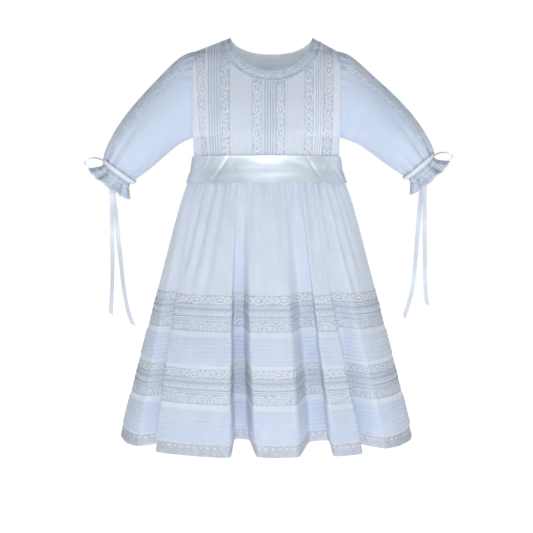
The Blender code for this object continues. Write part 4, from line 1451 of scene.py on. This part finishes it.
def smoothed_body():
    """The body's depths at every millimetre down, the bends of their table rounded off."""
    down = np.arange(0.0, BODY_DEPTH[-1, 0] + 1.0)
    kernel = np.hanning(2 * BODY_ROUNDING + 1)
    kernel /= kernel.sum()
    columns = [down]
    for column in (1, 2):
        rough = np.interp(down, BODY_DEPTH[:, 0], BODY_DEPTH[:, column])
        padded = np.pad(rough, BODY_ROUNDING, mode="reflect", reflect_type="odd")
        soft = np.convolve(padded, kernel, mode="valid")
        columns.append(rough + (soft - rough) * smooth_step((down - 6.0) / 20.0))
    return np.stack(columns, axis=1)


BODY_CURVE = smoothed_body()


def body_depth(x, z, side):
    """How far the bodice stands in front of or behind the side seams."""
    column = 1 if side == "front" else 2
    below = shoulder_line(x) - z
    middle = np.interp(below, BODY_CURVE[:, 0], BODY_CURVE[:, column])
    edge = np.minimum(armhole_depth(z), middle)
    across = np.clip(np.abs(x) / armhole_x(z), 0.0, 1.0)
    return edge + (middle - edge) * (1.0 - across**SQUARENESS) ** (1.0 / SQUARENESS)


def body_point(x, z, side):
    """Points of the bodice from their places across and up."""
    depth = body_depth(x, z, side)
    return np.stack([x, -depth if side == "front" else depth, z], axis=-1)


def neck_point(place, side, width):
    """Across and up at a distance down from the neckline; place runs from -1, left, to 1, right."""
    x = NECK_SHIFT + NECK_HALF_WIDTH * place
    hand = np.sign(place)
    turn = hand * np.arctan2(shoulder_span(hand), -SHOULDER_Z) * place**2
    return x + width * np.sin(turn), neck_height(x, side) - width * np.cos(turn)


def panel_top(x, side):
    """The height of a bodice panel's top edge: the neck lace's lower edge, then the shoulder seam."""
    places = np.linspace(-1.0, 1.0, 401)
    x_edge, z_edge = neck_point(places, side, NECK_LACE_WIDTH)
    under_neck = (x > x_edge[0]) & (x < x_edge[-1])
    return np.where(under_neck, np.interp(x, x_edge, z_edge), shoulder_line(x))


# The bodice front across: lace strips and groups of pin tucks, at the shoulders and at the waist
FRONT_STRIPS = (
    # kind, from and to at the shoulders, from and to at the waist
    ("lace", -98.0, -85.0, -88.8, -80.7),
    ("tucks", -83.0, -63.5, -80.0, -61.8),
    ("lace", -63.0, -50.0, -61.2, -48.6),
    ("lace", -20.0, -5.8, -19.4, -5.4),
    ("tucks", -5.4, 12.8, -5.2, 12.5),
    ("lace", 13.2, 25.4, 12.8, 24.8),
    ("lace", 52.0, 64.3, 50.5, 62.6),
    ("tucks", 64.8, 77.8, 63.0, 76.0),
    ("lace", 78.2, 92.0, 76.2, 90.0),
)
LINED_PANELS = ((-48.6, -19.5), (24.8, 50.4))
PIN_TUCK_PITCH = 3.6
# One pin tuck across: from its stitched line to its folded edge and back under it
PIN_TUCK = ((-1.3, 0.0), (-0.7, 0.8), (0.35, 1.1), (0.75, 0.9), (0.7, 0.2))
PANEL_ROWS = 72
PANEL_ROW_SPREAD = 1.1
COLUMN_STEP = 2.0
WAIST_X = 105.2


def strip_columns():
    """Places across the bodice front at the waist, how far each stands off, and its strip or -1."""
    found = []
    position = -WAIST_X
    end = ("end", 0.0, 0.0, WAIST_X, WAIST_X)
    for index, (kind, _, _, low, high) in enumerate((*FRONT_STRIPS, end)):
        steps = max(1, round((low - position) / COLUMN_STEP))
        found += [(x, 0.0, -1) for x in np.linspace(position, low, steps, endpoint=False)]
        if kind == "end":
            found.append((WAIST_X, 0.0, -1))
        elif kind == "lace":
            found += [(x, 0.0, index) for x in np.linspace(low, high, 6, endpoint=False)]
        else:
            count = round((high - low) / PIN_TUCK_PITCH)
            gap = (high - low) / count
            found.append((low, 0.0, -1))
            for k in range(count):
                middle = low + gap * (k + 0.5)
                for across, out in PIN_TUCK:
                    # The last column of each pin tuck, under its folded edge, is painted darker: painted
                    # shade.
                    shaded = out == PIN_TUCK[-1][1]
                    found.append((middle + across, out, index if shaded else -1))
        position = high
    return found


def bodice_cloth(side, waist_x, lift):
    """A bodice panel as a grid: its columns run down from the neck or shoulder to the waist."""
    knots_top, knots_waist = [-SHOULDER_X], [-WAIST_X]
    if side == "front":
        for _, top_low, top_high, low, high in FRONT_STRIPS:
            knots_top += [top_low, top_high]
            knots_waist += [low, high]
    knots_top.append(SHOULDER_X)
    knots_waist.append(WAIST_X)
    x_top = np.interp(waist_x, knots_waist, knots_top)

    def across_at(z):
        share = np.clip((SHOULDER_Z - z) / (SHOULDER_Z - WAIST_Z), 0.0, 1.0)
        straight = x_top + (waist_x - x_top) * share
        return straight * armhole_x(z) / (SHOULDER_X + (WAIST_X - SHOULDER_X) * share)

    x_edge = x_top
    for _ in range(4):
        z_top = panel_top(x_edge, side)
        x_edge = across_at(z_top)
    share = np.linspace(0.0, 1.0, PANEL_ROWS)[:, None] ** PANEL_ROW_SPREAD
    z = z_top + (WAIST_Z - z_top) * share
    x = across_at(z)
    points = body_point(x, z, side)
    reach = 0.5
    across = body_point(x + reach, z, side) - body_point(x - reach, z, side)
    down = body_point(x, z - reach, side) - body_point(x, z + reach, side)
    out = np.cross(down, across) * (1 if side == "front" else -1)
    out /= np.linalg.norm(out, axis=-1, keepdims=True)
    fade = smooth_step((z_top - z) / 3.0)
    return Cloth(points + out * (lift * fade)[..., None])


def make_bodice_front():
    """The front, with its lace strips, pin tucks and finely lined panels."""
    waist_x, lift, strips = (np.array(values) for values in zip(*strip_columns()))
    cloth = bodice_cloth("front", waist_x, lift)
    kinds = [FRONT_STRIPS[index][0] if index >= 0 else "plain" for index in strips[:-1]]
    finishes = ["batiste", "lace ground", "tuck line", "lined batiste"]
    # The tucks' shaded columns take the darker batiste: painted shade.
    of_kind = {"plain": "batiste", "lace": "lace ground", "tucks": "tuck line"}
    spans = np.array([finishes.index(of_kind[kind]) for kind in kinds])
    # The lined panels carry the painted shade of their hairline tucks.
    for low, high in LINED_PANELS:
        spans[(waist_x[:-1] >= low) & (waist_x[:-1] < high)] = finishes.index("lined batiste")
    piece = shell("bodice_front", "batiste", cloth, finishes, column_finish=spans)
    declare(cloth)
    relief = []
    for index, (kind, *_) in enumerate(FRONT_STRIPS):
        if kind == "lace":
            first = int(np.argmax(strips == index))
            last = first + int((strips == index).sum())
            relief.append(strip_of_motifs(cloth, "medallions", first, last))
    add_relief("bodice_front_motifs", relief, "lace")


def make_bodice_back(hand):
    """Half of the back, which opens down its middle."""
    waist_x = hand * np.concatenate([[0.15], np.arange(2.0, WAIST_X, COLUMN_STEP), [WAIST_X]])
    if hand > 0:
        waist_x = waist_x[::-1]
    cloth = bodice_cloth("back", waist_x, 0.0 * waist_x)
    piece = shell(f"bodice_back_{side_of(hand)}", "batiste", cloth, ["batiste"])
    declare(cloth)


def neck_rows():
    """Places round the neckline, from the centre back round the left, the front and the right."""
    quarter = np.sin(np.linspace(0.0, math.pi / 2, 61))
    middle = -NECK_SHIFT / NECK_HALF_WIDTH
    back_left = middle + (-1.0 - middle) * quarter
    back_right = middle + (1.0 - middle) * quarter
    front = np.concatenate([-quarter[::-1], quarter[1:]])
    return ("back", back_left), ("front", front[1:]), ("back", back_right[::-1][1:])


NECK_END_GAP = 0.02


def make_neck_lace():
    """The lace that edges the neckline, scalloped along its lower edge and open at the centre back."""
    rows = []
    for share in np.linspace(0.0, 1.0, 12):
        row = []
        for side, places in neck_rows():
            x, z = neck_point(places, side, NECK_LACE_WIDTH * share)
            row.append(body_point(x, z, side))
        rows.append(np.concatenate(row))
    points = np.stack(rows)
    points[:, 0, 0] = -NECK_END_GAP
    points[:, -1, 0] = NECK_END_GAP
    cloth = Cloth(points)
    scallop = 1.1 * np.abs(np.sin(cloth.along / NECK_SCALLOP * math.pi)) ** 0.6
    down = points[-1] - points[-2]
    down /= np.linalg.norm(down, axis=1, keepdims=True)
    points = points.copy()
    points[-1] += down * scallop[:, None] + cloth.normals[-1] * 0.5
    points[-2] += cloth.normals[-2] * 0.5
    points[0] += cloth.normals[0] * 0.3
    cloth = Cloth(points)
    # The inner wall is painted lighter than the lace: painted light inside the neck.
    piece = shell("neck_lace", "lace", cloth, ["lace ground", "neck inside"], inner_finish=1)
    declare(cloth)
    width = cloth.down[-1]
    rows = [
        row_of_motifs(cloth, "leaf sprigs", 0.5 * width, 7.4),
        row_of_motifs(cloth, "picots", width - 1.0),
        row_of_motifs(cloth, "stitches", 1.0),
    ]
    add_relief("neck_lace_motifs", rows, "lace")


def make_placket():
    """The buttoned edge that laps over the centre-back opening."""
    top = -NECK_DROP["back"] - NECK_LACE_WIDTH - 0.6
    z = np.linspace(top, SASH_TOP_Z + 1.0, 60)[:, None]
    x = np.linspace(PLACKET_HALF_WIDTH, -PLACKET_HALF_WIDTH, 17)[None, :] + 0 * z
    edge = 1.0 - smooth_step((PLACKET_HALF_WIDTH - np.abs(x)) / 1.6)
    points = body_point(x, z + 0 * x, "back")
    points[..., 1] += PLACKET_LIFT + 0.6 - 0.3 * edge
    cloth = Cloth(points)
    piece = shell("back_placket", "batiste", cloth, ["batiste"], PLACKET)
    declare(cloth)
    edges = [strip_of_motifs(cloth, "stitches", first, first + 2, wide=2.0) for first in (1, 13)]
    add_relief("back_placket_stitches", edges, "batiste")


def sleeve_sections(hand):
    """The middle, the half height as a direction and length, and the half depth of each section."""
    pivot = np.array([UNDERARM_X, (SHOULDER_Z + UNDERARM_Z) / 2])
    turn = SLEEVE_LIFT[hand] * smooth_step((np.arange(len(SLEEVE)) + 1.0) / 4.0)
    edges = []
    for column in (0, 2):
        edge = SLEEVE[:, column : column + 2] - pivot
        x = edge[:, 0] * np.cos(turn) - edge[:, 1] * np.sin(turn)
        z = edge[:, 0] * np.sin(turn) + edge[:, 1] * np.cos(turn)
        edges.append(np.stack([x, z], axis=1) + pivot)
    upper, lower = edges
    return (upper + lower) / 2, (upper - lower) / 2, SLEEVE[:, 4]


def section(middle, half, half_depth, angles, hand, outward=0.0):
    """A ring of a sleeve: angle 0 is its upper or outer edge, and a quarter turn is its back."""
    height = np.linalg.norm(half)
    up = (height + outward) / height * np.cos(angles)
    x = middle[0] + half[0] * up
    z = middle[1] + half[1] * up
    return np.stack([hand * x, (half_depth + outward) * np.sin(angles), z], axis=1)


SLEEVE_COLUMNS = 240
SLEEVE_ROWS = 90

# Creases of the sleeves: the cloth is drawn up at the cuff and hangs in soft folds
SLEEVE_CREASES = np.array(
    [
        # angle at the cuff, angle at its end, where it ends, half angle, depth
        (-20.0, -12.0, 0.42, 7.0, 2.2),
        (-48.0, -38.0, 0.55, 8.0, 2.6),
        (-78.0, -70.0, 0.35, 8.0, 2.4),
        (-112.0, -100.0, 0.5, 9.0, 2.8),
        (-145.0, -150.0, 0.45, 8.0, 2.4),
        (172.0, 165.0, 0.6, 8.0, 2.2),
        (132.0, 140.0, 0.4, 9.0, 2.6),
        (98.0, 92.0, 0.55, 8.0, 2.6),
        (64.0, 70.0, 0.45, 7.0, 2.4),
        (30.0, 24.0, 0.5, 8.0, 2.2),
    ]
)
# Small gathers at the cuff, with the range of where they end, their half angles and depths
SLEEVE_GATHERS = {
    hand: small_gathers(FOLD_SEED + 2 + hand, 44, 4.0, (0.62, 0.88), (2.2, 3.6), (0.5, 1.5))
    for hand in (-1, 1)
}


def sleeve_cloth(hand):
    """A sleeve from its armhole to the cuff seam."""
    angles = np.linspace(0.0, 2 * math.pi, SLEEVE_COLUMNS, endpoint=False)
    middle, half, deep = sleeve_sections(hand)
    height = (SHOULDER_Z + UNDERARM_Z) / 2 + (SHOULDER_Z - UNDERARM_Z) / 2 * np.cos(angles)
    edge = np.stack(
        [
            hand * (armhole_x(height) + SLEEVE_SEAM_GAP),
            (ARMHOLE_HALF_DEPTH + SEAM_GAP / 2) * np.sin(angles),
            height,
        ],
        axis=1,
    )
    rings = [edge] + [section(middle[k], half[k], deep[k], angles, hand) for k in range(len(SLEEVE))]
    rings = np.stack(rings)
    share = np.linspace(0.0, 1.0, SLEEVE_ROWS) ** 0.9
    stations = share * (len(rings) - 1)
    points = smooth_rows(rings, stations)
    cloth = Cloth(facing_out(points, hand), closed=True)
    turned = facing_out(np.tile(angles, (SLEEVE_ROWS, 1))[..., None], hand)[..., 0]
    down = share[:, None] + 0 * turned
    depth = np.zeros_like(turned)
    for cuff, end, stop, half_angle, crease in np.concatenate([SLEEVE_CREASES, SLEEVE_GATHERS[hand]]):
        travelled = np.clip((down - stop) / (1.0 - stop), 0.0, 1.0)
        at = np.radians(end + (cuff - end) * travelled)
        across = np.exp(-((turned_away(turned, at) / math.radians(half_angle)) ** 2))
        at_cuff = 1.0 - 0.45 * smooth_step((down - 0.9) / 0.1)
        depth += crease * across * smooth_step(travelled * 1.4) * at_cuff
    head = 0.5 * np.sin(26.0 * turned) * smooth_step(down / 0.03)
    head = head * (1.0 - smooth_step((down - 0.03) / 0.12)) * (np.cos(turned) > -0.2)
    return Cloth(cloth.points - cloth.normals * (depth * 0.8 + head)[..., None], closed=True)


def smooth_rows(rings, stations):
    """Rows at fractional places through a list of rings, on a smooth curve."""
    padded = np.concatenate([2 * rings[:1] - rings[1:2], rings, 2 * rings[-1:] - rings[-2:-1]])
    found = []
    for place in stations:
        k = min(int(place), len(rings) - 2)
        found.append(curve_between(*padded[k : k + 4], place - k))
    return np.stack(found)


def facing_out(grid, hand):
    """Columns in the order whose normals point out, for a sleeve or a cuff on either side."""
    return grid[:, ::-1] if hand < 0 else grid


def side_of(hand):
    return "left" if hand < 0 else "right"


# Lace let into each sleeve beside its upper edge: the angle of its middle, and half its width
SLEEVE_LACE = ((-22.0, 8.5), (-49.5, 8.5))
SLEEVE_LACE_RUN = (0.01, 0.86)


def make_sleeve(hand):
    """A sleeve with its two strips of lace, and the stitches of its seams."""
    cloth = sleeve_cloth(hand)
    angles = facing_out(np.linspace(0.0, 360.0, SLEEVE_COLUMNS, endpoint=False)[None, :], hand)[0]
    spans = np.zeros(SLEEVE_COLUMNS, int)
    rows = []
    for middle, half in SLEEVE_LACE:
        away = np.abs((angles - middle + 180.0) % 360.0 - 180.0)
        inside = np.flatnonzero(away < half)
        spans[inside[:-1]] = 1
        ends = inside[0], inside[-1]
        rows.append(strip_of_motifs(cloth, "medallions", *ends, *SLEEVE_LACE_RUN))
    side = side_of(hand)
    # The sleeve's batiste is painted darker than the bodice's: painted shade.
    finishes = ["sleeve batiste", "lace ground"]
    piece = shell(f"sleeve_{side}", "batiste", cloth, finishes, column_finish=spans)
    declare(cloth)
    add_relief(f"sleeve_{side}_motifs", rows, "lace")
    seams = [row_of_motifs(cloth, "stitches", down) for down in (1.6, cloth.down[-1] - 1.2)]
    add_relief(f"sleeve_{side}_stitches", seams, "batiste")


def cuff_seam(hand):
    """The cuff seam's middle, half height and half depth, and the direction in which the sleeve leaves."""
    middle, half, deep = sleeve_sections(hand)
    along = np.array([half[-1][1], -half[-1][0]]) / np.linalg.norm(half[-1])
    return middle[-1], half[-1], deep[-1], along * (-1 if along[1] > 0 else 1)


def make_cuff_frill(hand):
    """Ruffled lace that flares from the cuff seam."""
    middle, half, deep, along = cuff_seam(hand)
    angles = np.linspace(0.0, 2 * math.pi, 6 * FRILL_PICOTS, endpoint=False)
    ruffles, lean = FRILL_RUFFLES * angles, 0.5 * np.sin(2 * angles)
    rows = []
    for share in np.linspace(0.0, 1.0, 16):
        wider = np.interp(share, FRILL[:, 0], FRILL[:, 1])
        ruffle = np.interp(share, FRILL[:, 0], FRILL[:, 2])
        wave = ruffle * np.cos(ruffles + lean * share)
        gather = 0.5 * np.sin(FRILL_PICOTS * angles) * (1.0 - smooth_step(share / 0.5))
        scallop = np.abs(np.sin(FRILL_PICOTS / 2 * angles)) ** 0.6
        tip = 0.8 * scallop * smooth_step((share - 0.7) / 0.3)
        lobe = -1.3 * np.cos(ruffles + lean) * share**2
        reach = SEAM_GAP + 0.2 + FRILL_LENGTH * share
        ringed = section(middle + along * reach, half, deep, angles, hand, wider - 1.0 + wave + gather)
        ringed[:, 0] += hand * along[0] * (tip + lobe)
        ringed[:, 2] += along[1] * (tip + lobe)
        rows.append(ringed)
    cloth = Cloth(facing_out(np.stack(rows), hand), closed=True)
    side = side_of(hand)
    piece = shell(f"cuff_frill_{side}", "lace", cloth, ["lace ground"], LACE_RUFFLE)
    declare(cloth)
    width = cloth.down[-1]
    rows = [
        row_of_motifs(cloth, "leaf sprigs", 0.52 * width, 9.0),
        row_of_motifs(cloth, "picots", width - PICOT_REACH, cloth.along[-1] / FRILL_PICOTS),
        row_of_motifs(cloth, "net dots", 0.24 * width, 4.5),
    ]
    add_relief(f"cuff_frill_{side}_motifs", rows, "lace")


def make_cuff_ribbon(hand):
    """Satin ribbon drawn round the sleeve end, just above the frill."""
    middle, half, deep, along = cuff_seam(hand)
    angles = np.linspace(0.0, 2 * math.pi, 180, endpoint=False)
    rows = []
    for share in np.linspace(0.0, 1.0, RIBBON_COLUMNS):
        back = RIBBON_WIDTH + CUFF_RIBBON_BACK - RIBBON_WIDTH * share
        grown = 5.3 - 3.6 * share + RIBBON
        pucker = 0.5 * np.sin(31.0 * angles + 4.0 * share)
        rows.append(section(middle - along * back, half, deep, angles, hand, grown + pucker))
    cloth = Cloth(facing_out(np.stack(rows), hand), closed=True)
    shell(f"cuff_ribbon_{side_of(hand)}", "satin", cloth, ["ribbon"], RIBBON)
    bars = [row_of_motifs(cloth, "ribbon bars", cloth.down[-1] / 2)]
    add_relief(f"cuff_beading_{side_of(hand)}", bars, "lace")


def knot_place(hand):
    """The middle of the bow's knot, on the outer back of the cuff ribbon."""
    middle, half, deep, along = cuff_seam(hand)
    place = middle - along * (RIBBON_WIDTH / 2 + CUFF_RIBBON_BACK)
    return section(place, half, deep, np.array([KNOT_ANGLE]), hand, KNOT_STAND_OFF)[0]


def faces_between(rings, count):
    """Faces between rings of points, one below the other and turning to the right."""
    i, j = np.meshgrid(np.arange(rings - 1), np.arange(count), indexing="ij")
    after = (j + 1) % count
    corners = [i * count + j, (i + 1) * count + j, (i + 1) * count + after, i * count + after]
    return np.stack(corners, axis=-1).reshape(-1, 4).tolist()


def make_knot(hand):
    """The bow's knot: a tight turn of ribbon with its creases."""
    knot = knot_place(hand)
    turns = np.linspace(0.0, 2 * math.pi, 48, endpoint=False)
    rows = []
    for tilt in np.linspace(0.02, math.pi - 0.02, 21):
        crease = 1.0 + 0.06 * np.sin(6.0 * turns + 3.0 * math.cos(tilt)) * math.sin(tilt)
        x = KNOT_HALF[0] * math.sin(tilt) * np.cos(turns) * crease
        y = KNOT_HALF[1] * math.sin(tilt) * np.sin(turns) * crease
        z = np.full_like(x, KNOT_HALF[2] * math.cos(tilt))
        rows.append(knot + np.stack([x, y, z], axis=1))
    count = len(turns)
    top, bottom = len(rows) * count, len(rows) * count + 1
    base = (len(rows) - 1) * count
    faces = faces_between(len(rows), count)
    for j in range(count):
        after = (j + 1) % count
        faces.append((top, j, after))
        faces.append((bottom, base + after, base + j))
    caps = [knot + np.array([0.0, 0.0, sign * KNOT_HALF[2]]) for sign in (1, -1)]
    node = f"bow_knot_{side_of(hand)}"
    mesh = bpy.data.meshes.new(f"{node}_satin")
    mesh.from_pydata((np.concatenate([*rows, caps]) * MM).tolist(), [], faces)
    mesh.materials.append(FINISHES["ribbon"])
    mesh.shade_smooth()
    piece = bpy.data.objects.new(mesh.name, mesh)
    bpy.context.scene.collection.objects.link(piece)
    hand_in(piece, "satin", node)


def make_loops(hand):
    """The two loops of the bow, each a ribbon that leaves the knot and comes back to it."""
    knot = knot_place(hand)
    for name, turn, reach, rise, behind in BOW_LOOPS:
        start = knot + np.array([hand * turn * (KNOT_HALF[0] - 0.15), 0.0, 0.0])
        angles = np.linspace(math.radians(168.0), math.radians(-168.0), 61)
        share = 0.5 + 0.5 * np.cos(angles)
        tall = 0.35 + 0.65 * np.sin(share * math.pi * 0.75)
        up = rise * share + LOOP_HALF_HEIGHT * np.sin(angles) * tall
        back = behind * (share**0.35 - LOOP_SEAT)
        path = start + np.stack([hand * turn * reach * share, back, up], axis=1)
        width = RIBBON_WIDTH * (0.55 + 0.45 * smooth_step(share / 0.35))
        lean = 0.18 * np.sin(angles)
        across = np.stack([0 * lean, np.cos(lean), np.sin(lean)], axis=1)
        cloth = ribbon_cloth(path, across, width)
        shell(f"bow_loop_{side_of(hand)}_{name}", "satin", cloth, ["ribbon"], RIBBON)


BUTTON_PROFILE = (
    # share of the height, share of the radius
    (0.0, 0.0),
    (0.0, 0.8),
    (0.15, 0.95),
    (0.45, 1.0),
    (0.75, 0.99),
    (0.95, 0.9),
    (1.0, 0.78),
    (0.8, 0.66),
    (0.72, 0.5),
    (0.72, 0.0),
)


def make_buttons():
    """Round pearl buttons down the placket, each with a raised rim and turned as the back slopes."""
    angles = np.linspace(0.0, 2 * math.pi, 40, endpoint=False)
    drop = 5.0
    for k, z in enumerate(np.linspace(FIRST_BUTTON_Z, LAST_BUTTON_Z, BUTTONS)):
        behind, below = (float(body_depth(0.0, level, "back")) for level in (z, z - drop))
        slope = math.atan2(below - behind, drop)
        seat = behind + PLACKET_LIFT + BUTTON_SEAT
        rings = []
        for share, size in BUTTON_PROFILE:
            across = BUTTON_RADIUS * max(size, 0.02) * np.cos(angles)
            up = BUTTON_RADIUS * max(size, 0.02) * np.sin(angles)
            out = BUTTON_HEIGHT * share
            y = seat + out * math.cos(slope) - up * math.sin(slope)
            rings.append(np.stack([across, y, z + up * math.cos(slope) + out * math.sin(slope)], axis=1))
        faces = faces_between(len(rings), len(angles))
        piece = add_mesh(f"button_{k + 1}_pearl", np.concatenate(rings), faces, ["pearl"])
        hand_in(piece, "button", f"button_{k + 1}")


def add_light(name, place, aim, size, power):
    """A soft round lamp that faces its aim."""
    data = bpy.data.lights.new(name, "AREA")
    data.shape = "DISK"
    data.size = size
    data.energy = power
    data.color = LIGHT_TINT
    lamp = bpy.data.objects.new(name, data)
    lamp.location = place
    direction = np.array(aim) - np.array(place)
    lamp.rotation_euler = (
        math.atan2(math.hypot(direction[0], direction[1]), -direction[2]),
        0.0,
        math.atan2(direction[0], -direction[1]) + math.pi,
    )
    bpy.context.scene.collection.objects.link(lamp)


def add_studio():
    """A white room with soft light, and a pale floor below the hem."""
    world = bpy.data.worlds.new("studio")
    bpy.context.scene.world = world
    world.use_nodes = True
    tree = world.node_tree
    background = tree.nodes["Background"]
    seen = tree.nodes.new("ShaderNodeBackground")
    seen.inputs["Color"].default_value = WHITE
    seen.inputs["Strength"].default_value = 1.0
    background.inputs["Color"].default_value = (*LIGHT_TINT, 1.0)
    background.inputs["Strength"].default_value = AMBIENT
    path = tree.nodes.new("ShaderNodeLightPath")
    mixed = tree.nodes.new("ShaderNodeMixShader")
    tree.links.new(path.outputs["Is Camera Ray"], mixed.inputs[0])
    tree.links.new(background.outputs[0], mixed.inputs[1])
    tree.links.new(seen.outputs[0], mixed.inputs[2])
    tree.links.new(mixed.outputs[0], tree.nodes["World Output"].inputs["Surface"])
    for lamp in LAMPS:
        add_light(*lamp)

    floor_mesh = bpy.data.meshes.new("floor")
    signs = ((-1, -1), (1, -1), (1, 1), (-1, 1))
    corners = [(FLOOR_HALF * x, FLOOR_HALF * y, FLOOR_Z * MM) for x, y in signs]
    floor_mesh.from_pydata(corners, [], [(0, 1, 2, 3)])
    floor = bpy.data.objects.new("floor", floor_mesh)
    bpy.context.scene.collection.objects.link(floor)
    paint = bpy.data.materials.new("floor")
    paint.use_nodes = True
    shader = paint.node_tree.nodes["Principled BSDF"]
    shader.inputs["Base Color"].default_value = WHITE
    shader.inputs["Roughness"].default_value = 1.0
    shader.inputs["Emission Color"].default_value = WHITE
    shader.inputs["Emission Strength"].default_value = FLOOR_GLOW
    floor_mesh.materials.append(paint)
    bpy.context.scene.view_settings.view_transform = "Standard"


def clear_hidden():
    """The repeated shapes' own objects aren't part of the dress."""
    for hidden in HIDDEN.values():
        bpy.data.objects.remove(hidden)


def make_dress():
    """Every piece of the dress; hand is -1 at the left, as seen from the front, and 1 at the right."""
    make_tails()
    make_bodice_front()
    make_neck_lace()
    make_placket()
    make_buttons()
    for hand in (-1, 1):
        make_bodice_back(hand)
        make_sleeve(hand)
        make_cuff_frill(hand)
        make_cuff_ribbon(hand)
        make_knot(hand)
        make_loops(hand)
    make_skirt_top()
    make_lace_band("skirt_lace_upper", LACE_UPPER_TOP_Z, TUCKS_UPPER_TOP_Z)
    make_tuck_band("skirt_tucks_upper", TUCKS_UPPER_TOP_Z, LACE_LOWER_TOP_Z, UPPER_TUCKS)
    make_lace_band("skirt_lace_lower", LACE_LOWER_TOP_Z, TUCKS_LOWER_TOP_Z)
    make_tuck_band("skirt_tucks_lower", TUCKS_LOWER_TOP_Z, BATISTE_HEM_Z, LOWER_TUCKS)
    make_net_hem()
    make_sash()
    clear_hidden()


add_camera()
make_dress()
add_studio()
